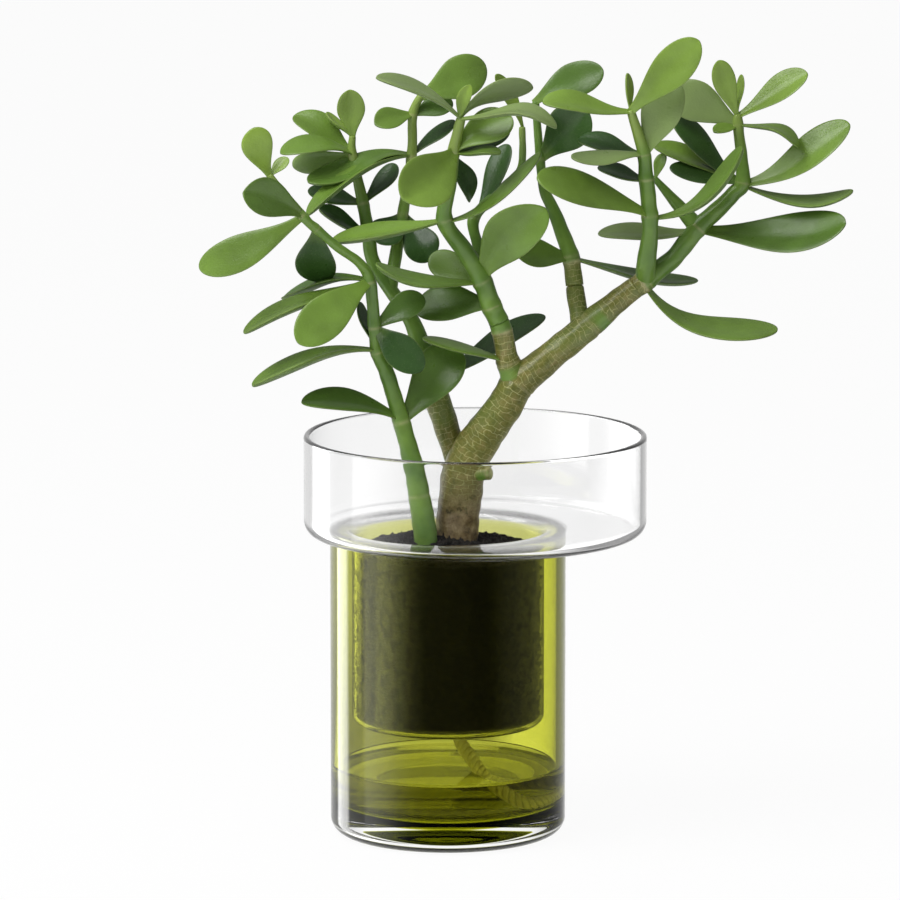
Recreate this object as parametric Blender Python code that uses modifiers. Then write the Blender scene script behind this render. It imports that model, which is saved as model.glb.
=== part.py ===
# Self-watering glass planter with a jade plant.
# A glass vessel holds the water. A glass insert, a wide bowl with a pot tube under it, rests on the
# vessel's rim. A wick runs from the soil in the pot, through the pot's floor, into the water.
# Sizes are in millimetres and the model is in metres. Z is up, the front is -Y, and the origin is
# the centre of the vessel's foot.

import math

import bmesh
import bpy
from mathutils import Matrix, Vector

MM = 0.001
ROUND_STEPS = 44
FIT_GAP = 0.3

# Water vessel
VESSEL_DIA = 104.0
VESSEL_HEIGHT = 134.0
VESSEL_WALL = 4.0
BASE_THICKNESS = 13.0
BASE_EDGE_RADIUS = 7.0
FLOOR_EDGE_RADIUS = 6.0
WATER_DEPTH = 16.5

# Planting insert
POT_GAP = 5.5
POT_WALL = 1.8
POT_DEPTH = 85.0
POT_FLOOR = 1.8
POT_EDGE_RADIUS = 5.0
SHOULDER_PLAY = 1.5
MOUTH_RADIUS = 6.0
BOWL_DIA = 151.0
BOWL_HEIGHT = 44.0
BOWL_WALL = 2.6
BOWL_FLOOR = 2.8
BOWL_EDGE_RADIUS = 6.0
BOWL_OFFSET = 12.0

# Wick
WICK_DIA = 6.0
WICK_OFFSET = 4.0
WICK_HOLE_PLAY = 1.5
WICK_IN_SOIL = 42.0
WICK_RESOLUTION = 2
WICK_FLOOR_PLAY = 1.2

# Soil
SOIL_DROP = 10.4
SOIL_MOUND = 4.0

# Plant
LEAF_SIDES = 6
LEAF_RINGS = 6
LEAF_ROOT_SHARE = 0.7
STEM_STEPS = 2
STEM_RESOLUTION = 1
TRUNK_RESOLUTION = 2
LEAF_THICKNESS_SHARE = 0.13
LEAF_THICKNESS_LEAST = 0.9
LEAF_STALK_SHARE = 0.17
LEAF_WIDEST = 0.67
LEAF_FULLNESS = 0.84

# Sizes that follow from those above
vessel_r = VESSEL_DIA / 2
bore_r = vessel_r - VESSEL_WALL
seat_z = VESSEL_HEIGHT + FIT_GAP
floor_z = seat_z + BOWL_FLOOR
rim_z = seat_z + BOWL_HEIGHT
pot_r = bore_r - POT_GAP
pot_inner_r = pot_r - POT_WALL
pot_bottom_z = seat_z - POT_DEPTH
pot_floor_z = pot_bottom_z + POT_FLOOR
wick_r = WICK_DIA / 2
wick_hole_r = wick_r + WICK_HOLE_PLAY
wick_top_z = pot_floor_z + WICK_IN_SOIL
wick_lie_z = BASE_THICKNESS + wick_r + WICK_FLOOR_PLAY
soil_r = pot_inner_r - FIT_GAP
soil_bottom_z = pot_floor_z + FIT_GAP
soil_edge_z = floor_z - SOIL_DROP
soil_top_z = soil_edge_z + SOIL_MOUND
water_r = bore_r - FIT_GAP
water_bottom_z = BASE_THICKNESS + FIT_GAP
water_top_z = BASE_THICKNESS + WATER_DEPTH

# The wick's free route, from below the pot's hole to its cut end: it falls to the front right,
# then lies in a turn near the vessel's floor.
WICK_ROUTE = [
    (4.3, -0.5, pot_bottom_z - 4.5),
    (5.4, -2.1, pot_bottom_z - 8.1),
    (7.1, -4.6, pot_bottom_z - 11.0),
    (10.0, -8.9, pot_bottom_z - 14.4),
    (12.9, -13.2, pot_bottom_z - 17.8),
    (15.7, -17.4, pot_bottom_z - 21.1),
    (19.6, -21.1, wick_lie_z + 7.4),
    (24.7, -23.0, wick_lie_z + 3.7),
    (30.1, -22.6, wick_lie_z + 0.9),
    (34.9, -20.1, wick_lie_z),
    (38.2, -15.8, wick_lie_z),
    (40.3, -8.7, wick_lie_z),
    (41.3, -1.0, wick_lie_z),
    (41.0, 6.6, wick_lie_z),
    (39.3, 14.0, wick_lie_z),
    (36.2, 20.8, wick_lie_z),
    (31.8, 26.7, wick_lie_z),
    (26.2, 31.3, wick_lie_z),
    (19.6, 34.4, wick_lie_z),
    (12.4, 36.0, wick_lie_z),
    (4.0, 36.4, wick_lie_z),
]

# The plant's joints: x, y, height above the soil's top and the stem's radius there.
JOINTS = {
    # left stem and its twig
    "a0": (-8.8, -11.0, -16.0, 4.8),
    "a1": (-9.5, -11.0, 2.0, 5.2),
    "a2": (-12.6, -11.0, 22.5, 4.8),
    "a3": (-15.4, -11.0, 36.5, 4.3),
    "a4": (-20.4, -11.0, 55.0, 3.7),
    "a5": (-26.5, -12.0, 76.0, 3.4),
    "a6": (-30.5, -12.5, 86.0, 3.2),
    "a7": (-32.0, -13.0, 97.0, 2.8),
    "a8": (-34.0, -15.0, 117.5, 2.6),
    "a9": (-38.5, -17.0, 126.0, 2.1),
    "a10": (-47.5, -20.0, 133.0, 2.0),
    "a11": (-57.0, -22.0, 141.5, 2.0),
    "a12": (-63.0, -24.0, 147.5, 2.0),
    "a13": (-77.0, -20.0, 164.5, 1.3),
    # trunk and main right branch
    "t0": (3.3, 0.0, -18.0, 8.6),
    "t1": (3.8, 0.0, 0.0, 9.2),
    "t2": (5.4, 0.0, 18.0, 9.5),
    "t3": (8.6, 0.0, 36.0, 9.2),
    "t4": (25.0, -1.0, 60.5, 7.8),
    "t5": (31.0, -1.0, 70.5, 7.6),
    "t6": (45.5, 0.0, 82.5, 6.4),
    "t7": (62.5, 1.0, 96.5, 6.2),
    "t8": (73.0, 1.0, 105.5, 5.3),
    "t9": (80.5, 1.0, 111.5, 4.8),
    # green cut stub on the trunk
    "s0": (10.5, -4.0, 30.5, 3.3),
    "s1": (18.0, -7.0, 31.6, 2.9),
    # back stem, its left and its upright branch
    "b0": (5.5, 3.0, 29.0, 4.6),
    "b1": (2.3, 7.5, 40.0, 5.4),
    "b2": (-4.4, 9.0, 61.5, 5.6),
    "b3": (-7.0, 10.0, 71.0, 5.0),
    "b4": (-15.5, 12.0, 95.0, 3.7),
    "b5": (-25.5, 15.0, 110.0, 3.2),
    "b6": (-33.0, 18.0, 122.0, 3.0),
    "b7": (-35.0, 19.0, 134.0, 3.0),
    "b8": (-37.5, 20.0, 147.5, 2.6),
    "b9": (-42.0, 21.0, 168.5, 2.0),
    "b10": (-42.0, 21.0, 176.5, 1.5),
    "b11": (-20.0, 24.0, 142.0, 2.4),
    "b12": (-16.0, 25.0, 167.5, 2.2),
    "b13": (-15.5, 25.0, 186.0, 2.0),
    "b14": (-12.0, 25.0, 194.0, 1.7),
    # middle stem with its front and its back branch
    "m0": (26.5, -2.0, 80.0, 5.0),
    "m1": (23.5, -3.5, 95.0, 4.6),
    "m2": (19.0, -4.5, 105.0, 4.3),
    "m3": (15.0, -5.5, 116.5, 4.3),
    "m4": (7.0, -7.5, 130.3, 3.9),
    "m5": (-1.5, -10.0, 144.0, 3.5),
    "m6": (1.0, -12.0, 160.0, 2.8),
    "m7": (2.5, -13.5, 174.5, 2.6),
    "m8": (4.0, -14.5, 181.5, 2.4),
    "m9": (5.5, -16.0, 188.5, 2.1),
    "n0": (13.5, 1.0, 129.5, 2.6),
    "n1": (11.5, 6.0, 142.5, 2.4),
    "n2": (24.0, 9.0, 155.5, 2.0),
    "n3": (32.0, 10.0, 164.5, 1.7),
    "n4": (32.5, 9.0, 182.0, 1.4),
    # back branch of the right side
    "x0": (58.8, 1.0, 93.5, 4.6),
    "p0": (56.2, 6.5, 108.0, 4.0),
    "p1": (53.8, 10.0, 125.0, 3.7),
    "p2": (47.0, 15.0, 143.5, 2.9),
    "p3": (42.5, 17.0, 153.5, 2.4),
    "p4": (40.5, 18.0, 167.0, 2.0),
    "p5": (38.5, 19.0, 192.0, 1.6),
    # right end, its upright branch and its twig
    "r0": (87.0, 1.5, 116.0, 4.5),
    "r1": (93.5, 3.0, 121.0, 4.3),
    "r2": (100.0, 4.0, 126.5, 4.1),
    "r3": (109.5, 5.0, 138.5, 4.0),
    "r4": (117.5, 6.0, 145.5, 3.7),
    "r5": (125.0, 7.0, 153.0, 3.4),
    "r6": (129.0, 7.0, 158.0, 3.2),
    "r7": (128.5, 8.5, 170.0, 2.6),
    "r8": (127.0, 10.0, 183.0, 2.2),
    "r9": (127.0, 10.5, 187.0, 1.9),
    "q0": (86.5, -3.5, 123.0, 4.3),
    "q1": (88.0, -6.0, 134.5, 3.7),
    "q2": (88.0, -7.0, 145.5, 3.5),
    "q3": (86.5, -8.0, 161.5, 3.2),
    "q4": (85.3, -9.0, 172.5, 2.8),
    "q5": (82.5, -10.0, 182.0, 2.3),
    "q6": (79.5, -11.0, 191.5, 1.9),
    "u0": (91.0, 13.0, 159.0, 1.4),
}

# The stems: their joints in order, and where one leaves the trunk the joint after which the green
# shoot starts, with the nodes below and above that place.
STEMS = [
    ("t0 t1 t2 t3 t4 t5 t6 t7 t8 t9 r0 r1 r2 r3 r4 r5 r6 r7 r8 r9", "t9", "trunk", "right_shoot"),
    ("s0 s1", None, "trunk", None),
    ("b0 b1 b2 b3 b4 b5 b6 b7 b8 b9 b10", "b2", "trunk", "back_left_shoot"),
    ("t5 m0 m1 m2 m3 m4 m5 m6 m7 m8 m9", "m1", "trunk", "centre_shoot"),
    ("x0 p0 p1 p2 p3 p4 p5", "p0", "trunk", "back_shoot"),
    ("a0 a1 a2 a3 a4 a5 a6 a7 a8 a9 a10 a11 a12 a13", None, "left_shoot", None),
    ("b5 b11 b12 b13 b14", None, "back_left_shoot", None),
    ("m3 n0 n1 n2 n3 n4", None, "centre_shoot", None),
    ("r0 q0 q1 q2 q3 q4 q5 q6", None, "right_shoot", None),
    ("r3 u0", None, "right_shoot", None),
]

# The leaves: joint, tip (x, y, height), width, turn of the blade from facing the front (0) to
# lying level (90), and how far its middle stands off the straight line, up or down.
LEAVES = {
    "trunk": [
        ("m0", (-11.0, -12.0, 92.0), 14.0, 80.0, 1.0),
    ],
    "left_shoot": [
        ("a12", (-108.0, -20.0, 123.5), 17.0, 50.0, 1.0),
        ("a12", (-88.0, -42.0, 160.0), 18.0, 25.0, 2.0),
        ("a11", (-57.5, -4.0, 116.0), 19.0, 8.0, 1.0),
        ("a13", (-84.0, -24.0, 186.0), 14.5, 5.0, 1.0),
        ("a13", (-69.5, -16.0, 172.0), 7.0, 40.0, 0.0),
        ("a4", (-64.0, -18.0, 65.0), 17.0, 62.0, 5.0),
        ("a4", (4.0, 0.0, 87.0), 22.0, 15.0, 1.0),
        ("a6", (-85.5, -20.0, 72.5), 19.0, 82.0, 6.0),
        ("a6", (-38.5, -4.0, 107.0), 10.0, 65.0, 0.0),
        ("a7", (-11.0, -22.0, 79.5), 16.0, 10.0, 1.0),
        ("a7", (-10.5, -8.0, 110.0), 13.0, 20.0, 1.0),
        ("a8", (-65.0, -38.0, 94.0), 20.0, 15.0, 3.0),
        ("a8", (-89.0, -22.0, 96.0), 18.0, 78.0, 2.0),
        ("a8", (-72.5, 8.0, 107.0), 16.0, 82.0, 5.0),
    ],
    "back_left_shoot": [
        ("b9", (-68.0, 30.0, 185.0), 15.0, 42.0, 1.0),
        ("b9", (-73.5, 10.0, 171.0), 15.0, 65.0, 5.0),
        ("b9", (-68.5, 24.0, 163.5), 15.0, 140.0, 1.0),
        ("b10", (-43.0, 16.0, 198.0), 13.0, 5.0, 0.0),
        ("b10", (-53.5, 26.0, 187.0), 8.0, 75.0, 0.0),
        ("b12", (-61.5, 8.0, 158.5), 18.0, 66.0, 2.0),
        ("b12", (-61.5, -2.0, 145.0), 15.0, 78.0, 6.0),
        ("b8", (-61.5, 30.0, 152.5), 14.0, 60.0, 0.0),
        ("b7", (-56.5, 12.0, 146.0), 13.0, 65.0, 0.0),
        ("b8", (-23.5, 32.0, 163.5), 12.0, 50.0, 0.0),
        ("b13", (-32.0, 14.0, 183.0), 12.0, 38.0, 1.0),
        ("b14", (16.5, 28.0, 208.0), 20.0, 10.0, 2.0),
        ("b13", (2.0, 30.0, 191.5), 12.0, 35.0, 0.0),
        ("b12", (3.0, 34.0, 182.5), 11.0, 60.0, 0.0),
        ("b3", (43.0, 22.0, 97.0), 17.0, 62.0, 1.0),
        ("b11", (-31.0, 12.0, 131.0), 16.0, 20.0, 0.0),
        ("b11", (-9.0, 14.0, 122.0), 17.0, 15.0, 0.0),
    ],
    "centre_shoot": [
        ("m2", (-14.5, 0.0, 103.5), 19.0, 35.0, 1.0),
        ("m3", (42.5, -22.0, 150.5), 23.0, 8.0, 3.0),
        ("m3", (-8.0, 4.0, 126.0), 15.0, 30.0, 0.0),
        ("m3", (-31.0, -30.0, 127.0), 16.0, 75.0, -5.0),
        ("m5", (-51.0, -6.0, 134.0), 17.0, 74.0, 0.0),
        ("m5", (40.5, -14.0, 174.0), 14.0, 72.0, -4.0),
        ("m7", (-19.5, -40.0, 157.0), 25.0, 5.0, 3.0),
        ("m7", (10.0, 4.0, 151.0), 13.0, 55.0, 0.0),
        ("m7", (28.0, -12.0, 189.0), 18.0, 32.0, 1.0),
        ("m7", (26.5, 2.0, 183.5), 13.0, 45.0, 0.0),
        ("m7", (23.0, -20.0, 174.5), 11.0, 78.0, 0.0),
        ("m9", (-31.0, -24.0, 208.0), 15.0, 75.0, 4.0),
        ("m9", (9.5, -18.0, 204.0), 6.5, 5.0, 0.0),
        ("m9", (37.0, -4.0, 201.5), 15.0, 135.0, 4.0),
        ("m9", (47.0, -28.0, 186.5), 15.0, 76.0, 6.0),
        ("n1", (26.5, 16.0, 174.0), 13.0, 45.0, 0.0),
        ("n4", (21.0, 6.0, 206.0), 8.0, 35.0, 0.0),
    ],
    "back_shoot": [
        ("p1", (29.0, 4.0, 129.0), 17.0, 45.0, 1.0),
        ("p1", (110.5, 24.0, 112.5), 16.0, 80.0, -2.0),
        ("p4", (61.0, 6.0, 190.0), 21.0, 10.0, 1.0),
        ("p5", (68.0, 16.0, 207.0), 17.0, 25.0, 1.0),
    ],
    "right_shoot": [
        ("q2", (38.5, -30.0, 165.0), 21.0, 52.0, 3.0),
        ("q2", (128.0, -14.0, 176.0), 16.0, 70.0, -9.0),
        ("q4", (53.5, -24.0, 173.0), 13.0, 66.0, 0.0),
        ("q4", (57.0, 2.0, 178.0), 14.0, 60.0, 0.0),
        ("q3", (65.5, 0.0, 166.0), 12.0, 65.0, 0.0),
        ("q6", (41.0, -18.0, 196.5), 16.0, 60.0, 1.0),
        ("q6", (108.5, -20.0, 223.5), 18.0, 14.0, 2.0),
        ("q6", (78.0, -8.0, 208.0), 7.0, 60.0, 0.0),
        ("q4", (99.0, -6.0, 205.0), 19.0, 15.0, 1.0),
        ("r0", (144.0, -10.0, 95.0), 22.0, 66.0, -9.0),
        ("r3", (173.5, -10.0, 142.5), 23.0, 45.0, -6.0),
        ("r3", (66.0, 16.0, 134.5), 15.0, 68.0, 0.0),
        ("r6", (175.5, 2.0, 184.5), 19.0, 45.0, -1.0),
        ("r6", (177.0, -2.0, 155.5), 15.0, 74.0, -6.5),
        ("r6", (98.5, 16.0, 187.0), 15.0, 48.0, 0.0),
        ("r6", (90.0, 14.0, 174.0), 14.0, 60.0, 0.0),
        ("r6", (97.0, 6.0, 165.0), 13.0, 52.0, 0.0),
        ("u0", (95.0, 16.0, 170.0), 6.0, 30.0, 0.0),
        ("r9", (118.0, 6.0, 212.0), 11.0, 10.0, 0.0),
        ("r9", (128.5, 14.0, 205.0), 7.0, 60.0, 0.0),
        ("r9", (157.0, 6.0, 206.5), 15.0, 45.0, 0.0),
        ("r8", (95.5, 14.0, 197.5), 19.0, 12.0, 1.0),
        ("r8", (153.0, -2.0, 175.0), 12.0, 76.0, 4.0),
        ("r8", (116.0, 4.0, 181.0), 8.0, 60.0, 0.0),
    ],
}

for old in list(bpy.data.objects):
    bpy.data.objects.remove(old, do_unlink=True)

parts = bpy.data.collections.new("self_watering_planter")
cutters = bpy.data.collections.new("cutters")
bpy.context.scene.collection.children.link(parts)
bpy.context.scene.collection.children.link(cutters)


def material(name, colour, roughness, transmission=0.0):
    made = bpy.data.materials.new(name)
    made.use_nodes = True
    shader = made.node_tree.nodes["Principled BSDF"]
    shader.inputs["Base Color"].default_value = (*colour, 1.0)
    shader.inputs["Roughness"].default_value = roughness
    shader.inputs["Transmission Weight"].default_value = transmission
    return made


def add_part(name, data, look):
    made = bpy.data.objects.new(name, data)
    parts.objects.link(made)
    data.materials.clear()
    data.materials.append(look)
    return made


def add_cutter(name, data, group=cutters):
    made = bpy.data.objects.new(name, data)
    group.objects.link(made)
    made.hide_render = True
    made.display_type = "WIRE"
    return made


def arc(centre_r, centre_z, radius, start, end, steps):
    points = []
    for i in range(steps + 1):
        angle = math.radians(start + (end - start) * i / steps)
        points.append((centre_r + radius * math.cos(angle), centre_z + radius * math.sin(angle)))
    return points


def turned_mesh(name, profile):
    mesh = bpy.data.meshes.new(name)
    points = [(r * MM, 0.0, z * MM) for r, z in profile]
    mesh.from_pydata(points, [(i, i + 1) for i in range(len(points) - 1)], [])
    return mesh


def turn(obj, steps=ROUND_STEPS):
    screw = obj.modifiers.new("turn", "SCREW")
    screw.axis = "Z"
    screw.angle = math.tau
    screw.steps = steps
    screw.render_steps = steps
    screw.use_merge_vertices = True
    screw.merge_threshold = 0.00001
    screw.use_smooth_shade = True


def combine(obj, other, operation):
    cut = obj.modifiers.new(operation.lower(), "BOOLEAN")
    cut.operation = operation
    cut.solver = "EXACT"
    if isinstance(other, bpy.types.Collection):
        cut.operand_type = "COLLECTION"
        cut.collection = other
    else:
        cut.object = other


def smooth_line(points, steps):
    # Catmull-Rom through the points, each of any number of values
    line = []
    last = len(points) - 1
    for i in range(last):
        before = points[max(i - 1, 0)]
        start = points[i]
        end = points[i + 1]
        after = points[min(i + 2, last)]
        for k in range(steps):
            t = k / steps
            line.append(tuple(
                0.5 * (2 * b + (c - a) * t + (2 * a - 5 * b + 4 * c - d) * t * t
                       + (3 * b - a - 3 * c + d) * t ** 3)
                for a, b, c, d in zip(before, start, end, after)
            ))
    line.append(tuple(points[last]))
    return line


def tube_mesh(name, line, resolution):
    # line: x, y, z and radius in millimetres
    curve = bpy.data.curves.new(name, "CURVE")
    curve.dimensions = "3D"
    curve.bevel_depth = MM
    curve.bevel_resolution = resolution
    curve.use_fill_caps = True
    spline = curve.splines.new("POLY")
    spline.points.add(len(line) - 1)
    for point, (x, y, z, radius) in zip(spline.points, line):
        point.co = (x * MM, y * MM, z * MM, 1.0)
        point.radius = radius
    shown = bpy.data.objects.new(name, curve)
    cutters.objects.link(shown)
    bpy.context.view_layer.update()
    ready = shown.evaluated_get(bpy.context.evaluated_depsgraph_get())
    mesh = bpy.data.meshes.new_from_object(ready)
    bpy.data.objects.remove(shown, do_unlink=True)
    bpy.data.curves.remove(curve)
    welded = bmesh.new()
    welded.from_mesh(mesh)
    bmesh.ops.remove_doubles(welded, verts=welded.verts, dist=0.000001)
    bmesh.ops.recalc_face_normals(welded, faces=welded.faces)
    welded.to_mesh(mesh)
    welded.free()
    return mesh


def plant_point(place):
    return Vector((place[0], place[1], soil_top_z + place[2]))


def blade_width(t):
    # spoon-shaped: an S-curve from the stalk to the widest place, then round to the tip
    rise = min(t / LEAF_WIDEST, 1.0)
    past = max(t - LEAF_WIDEST, 0.0) / (1.0 - LEAF_WIDEST)
    body = LEAF_STALK_SHARE + (1.0 - LEAF_STALK_SHARE) * rise * rise * (3.0 - 2.0 * rise)
    return LEAF_FULLNESS * body * math.sqrt(max(1.0 - past * past, 0.0))


def leaf_mesh(name, joint, tip, width, turn_deg, bend):
    # a sphere drawn out along the midrib, a parabola from the joint to the tip
    start = plant_point(JOINTS[joint])
    end = plant_point(tip)
    along = (end - start).normalized()
    start -= along * (JOINTS[joint][3] * LEAF_ROOT_SHARE)
    front = Vector((0.0, -1.0, 0.0))
    facing = (front - front.dot(along) * along).normalized()
    upward = along.cross(facing)
    if upward.z < -0.001:
        upward.negate()
    angle = math.radians(turn_deg)
    normal = facing * math.cos(angle) + upward * math.sin(angle)
    side = along.cross(normal)
    thickness = LEAF_THICKNESS_LEAST + LEAF_THICKNESS_SHARE * width
    blade = bmesh.new()
    bmesh.ops.create_uvsphere(blade, u_segments=LEAF_SIDES, v_segments=LEAF_RINGS, radius=1.0)
    for corner in blade.verts:
        t = (corner.co.z + 1.0) / 2
        ring = math.hypot(corner.co.x, corner.co.y)
        across = corner.co.x / ring if ring > 0.001 else 0.0
        through = corner.co.y / ring if ring > 0.001 else 0.0
        half = blade_width(t) / 2 if ring > 0.001 else 0.0
        middle = start.lerp(end, t) + normal * (4.0 * bend * t * (1.0 - t))
        place = middle + side * (half * width * across)
        place += normal * (min(half * 2.0, 1.0) ** 0.5 * thickness / 2 * through)
        corner.co = place * MM
    bmesh.ops.recalc_face_normals(blade, faces=blade.faces)
    mesh = bpy.data.meshes.new(name)
    blade.to_mesh(mesh)
    blade.free()
    return mesh


clear_glass = material("clear_glass", (0.93, 0.97, 0.95), 0.02, 1.0)
green_glass = material("green_glass", (0.45, 0.58, 0.12), 0.02, 1.0)
water_look = material("water", (0.80, 0.90, 0.82), 0.0, 1.0)
cotton = material("cotton", (0.62, 0.58, 0.42), 0.95)
soil_look = material("soil", (0.03, 0.022, 0.015), 1.0)
bark = material("bark", (0.25, 0.21, 0.13), 0.85)
green_leaf = material("leaf", (0.17, 0.32, 0.07), 0.35)

# Water vessel: one turned piece
vessel_profile = [(0.0, BASE_THICKNESS)]
vessel_profile += arc(bore_r - FLOOR_EDGE_RADIUS, BASE_THICKNESS + FLOOR_EDGE_RADIUS,
                      FLOOR_EDGE_RADIUS, -90, 0, 3)
vessel_profile += arc(vessel_r - VESSEL_WALL / 2, VESSEL_HEIGHT - VESSEL_WALL / 2,
                      VESSEL_WALL / 2, 180, 0, 4)
vessel_profile += arc(vessel_r - BASE_EDGE_RADIUS, BASE_EDGE_RADIUS, BASE_EDGE_RADIUS, 0, -90, 4)
vessel_profile += [(0.0, 0.0)]
vessel = add_part("reservoir_vessel", turned_mesh("reservoir_vessel", vessel_profile), green_glass)
turn(vessel)

# Insert: a bowl turned on its own offset axis, joined to a turned pot, then hollowed and drilled
bowl_r = BOWL_DIA / 2
bowl_inner_edge = BOWL_EDGE_RADIUS - BOWL_WALL
bowl_profile = [(0.0, floor_z)]
bowl_profile += arc(bowl_r - BOWL_EDGE_RADIUS, floor_z + bowl_inner_edge,
                    bowl_inner_edge, -90, 0, 3)
bowl_profile += arc(bowl_r - BOWL_WALL / 2, rim_z - BOWL_WALL / 2, BOWL_WALL / 2, 180, 0, 3)
bowl_profile += arc(bowl_r - BOWL_EDGE_RADIUS, seat_z + BOWL_EDGE_RADIUS,
                    BOWL_EDGE_RADIUS, 0, -90, 4)
bowl_profile += [(0.0, seat_z)]
bowl_place = Matrix.Translation((BOWL_OFFSET * MM, 0.0, 0.0))
insert = add_part("pot_insert", turned_mesh("pot_insert", bowl_profile), clear_glass)
insert.matrix_world = bowl_place
turn(insert)

shoulder_r = POT_GAP - SHOULDER_PLAY
tube_profile = [(0.0, seat_z + BOWL_FLOOR / 2), (pot_r + shoulder_r, seat_z + BOWL_FLOOR / 2)]
tube_profile += arc(pot_r + shoulder_r, seat_z - shoulder_r, shoulder_r, 90, 180, 3)
tube_profile += arc(pot_r - POT_EDGE_RADIUS, pot_bottom_z + POT_EDGE_RADIUS,
                    POT_EDGE_RADIUS, 0, -90, 3)
tube_profile += [(0.0, pot_bottom_z)]
tube = add_cutter("pot_outside", turned_mesh("pot_outside", tube_profile))
turn(tube)

pot_inner_edge = POT_EDGE_RADIUS - POT_WALL
hollow_profile = [(0.0, floor_z + MOUTH_RADIUS), (pot_inner_r + MOUTH_RADIUS, floor_z + MOUTH_RADIUS)]
hollow_profile += arc(pot_inner_r + MOUTH_RADIUS, floor_z - MOUTH_RADIUS, MOUTH_RADIUS, 90, 180, 3)
hollow_profile += arc(pot_inner_r - pot_inner_edge, pot_floor_z + pot_inner_edge,
                      pot_inner_edge, 0, -90, 3)
hollow_profile += [(0.0, pot_floor_z)]
hollow = add_cutter("pot_hollow", turned_mesh("pot_hollow", hollow_profile))
turn(hollow)

hole_profile = [(0.0, pot_floor_z + POT_FLOOR), (wick_hole_r, pot_floor_z + POT_FLOOR),
                (wick_hole_r, pot_bottom_z - POT_FLOOR), (0.0, pot_bottom_z - POT_FLOOR)]
wick_place = Matrix.Translation((WICK_OFFSET * MM, 0.0, 0.0))
hole = add_cutter("wick_hole", turned_mesh("wick_hole", hole_profile))
hole.matrix_world = wick_place
turn(hole, 16)

combine(insert, tube, "UNION")
combine(insert, hollow, "DIFFERENCE")
combine(insert, hole, "DIFFERENCE")

# Wick: the held length stands in the pot, the tail hangs and lies in the water
upper_steps = math.ceil((wick_top_z - pot_bottom_z) / (2 * WICK_DIA))
upper_line = []
for i in range(upper_steps + 1):
    upper_z = pot_bottom_z + (wick_top_z - pot_bottom_z) * i / upper_steps
    upper_line.append((WICK_OFFSET, 0.0, upper_z, wick_r))
wick_upper = add_part("wick_upper", tube_mesh("wick_upper", upper_line, WICK_RESOLUTION), cotton)

tail_start = (WICK_OFFSET, 0.0, pot_bottom_z - 2 * FIT_GAP)
tail_line = []
for x, y, z in smooth_line([tail_start] + WICK_ROUTE, 2):
    tail_line.append((x, y, z, wick_r))
wick_tail = add_part("wick_tail", tube_mesh("wick_tail", tail_line, WICK_RESOLUTION), cotton)

end_way = (Vector(tail_line[-1][:3]) - Vector(tail_line[-2][:3])).normalized()
past_end = Vector(tail_line[-1][:3]) + end_way * FIT_GAP
room_line = [(x, y, z, wick_r + FIT_GAP) for x, y, z, radius in tail_line[:-1]]
room_line += [(*past_end, wick_r + FIT_GAP)]
tail_room = add_cutter("tail_room", tube_mesh("tail_room", room_line, WICK_RESOLUTION))

# Water, with room for the wick
water_edge = FLOOR_EDGE_RADIUS - FIT_GAP
water_profile = [(0.0, water_top_z), (water_r, water_top_z)]
water_profile += arc(water_r - water_edge, water_bottom_z + water_edge, water_edge, 0, -90, 3)
water_profile += [(0.0, water_bottom_z)]
water = add_part("water", turned_mesh("water", water_profile), water_look)
turn(water, 32)
combine(water, tail_room, "DIFFERENCE")

# Soil, with room for the wick and for the feet of the stems
soil_edge = pot_inner_edge
soil_profile = [(0.0, soil_top_z), (soil_r * 0.5, soil_top_z - SOIL_MOUND * 0.25),
                (soil_r * 0.8, soil_top_z - SOIL_MOUND * 0.7), (soil_r, soil_edge_z)]
soil_profile += arc(soil_r - soil_edge, soil_bottom_z + soil_edge, soil_edge, 0, -90, 3)
soil_profile += [(0.0, soil_bottom_z)]
soil = add_part("potting_soil", turned_mesh("potting_soil", soil_profile), soil_look)
turn(soil, 36)
channel_profile = [(0.0, wick_top_z + FIT_GAP), (wick_r + FIT_GAP, wick_top_z + FIT_GAP),
                   (wick_r + FIT_GAP, soil_bottom_z - POT_FLOOR), (0.0, soil_bottom_z - POT_FLOOR)]
channel = add_cutter("wick_channel", turned_mesh("wick_channel", channel_profile))
channel.matrix_world = wick_place
turn(channel, 16)
combine(soil, channel, "DIFFERENCE")

# Plant: each shoot is its stems and leaves grown together
pieces = {node: [] for node in LEAVES}
feet = {}
for joints, cut_joint, lower_node, upper_node in STEMS:
    names = joints.split()
    line = smooth_line([(*plant_point(JOINTS[n]), JOINTS[n][3]) for n in names], STEM_STEPS)
    resolution = TRUNK_RESOLUTION if lower_node == "trunk" else STEM_RESOLUTION
    if JOINTS[names[0]][2] < 0:
        feet[names[0]] = (line, resolution)
    if cut_joint is None:
        pieces[lower_node].append(tube_mesh(lower_node, line, resolution))
        continue
    k = names.index(cut_joint) * STEM_STEPS
    below = Vector(line[k][:3])
    above = Vector(line[k + 1][:3])
    way = (above - below).normalized()
    middle = (below + above) / 2
    radius = (line[k][3] + line[k + 1][3]) / 2
    lower_end = (*(middle - way * FIT_GAP / 2), radius)
    upper_start = (*(middle + way * FIT_GAP / 2), radius)
    pieces[lower_node].append(tube_mesh(lower_node, line[:k + 1] + [lower_end], resolution))
    pieces[upper_node].append(tube_mesh(upper_node, [upper_start] + line[k + 1:], STEM_RESOLUTION))

for node, leaves in LEAVES.items():
    for joint, tip, width, turn_deg, bend in leaves:
        pieces[node].append(leaf_mesh(node + "_leaf", joint, tip, width, turn_deg, bend))

for node, meshes in pieces.items():
    grown = add_part(node, meshes[0], bark if node == "trunk" else green_leaf)
    group = bpy.data.collections.new(node + "_pieces")
    cutters.children.link(group)
    for mesh in meshes[1:]:
        add_cutter(mesh.name, mesh, group)
    combine(grown, group, "UNION")

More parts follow.
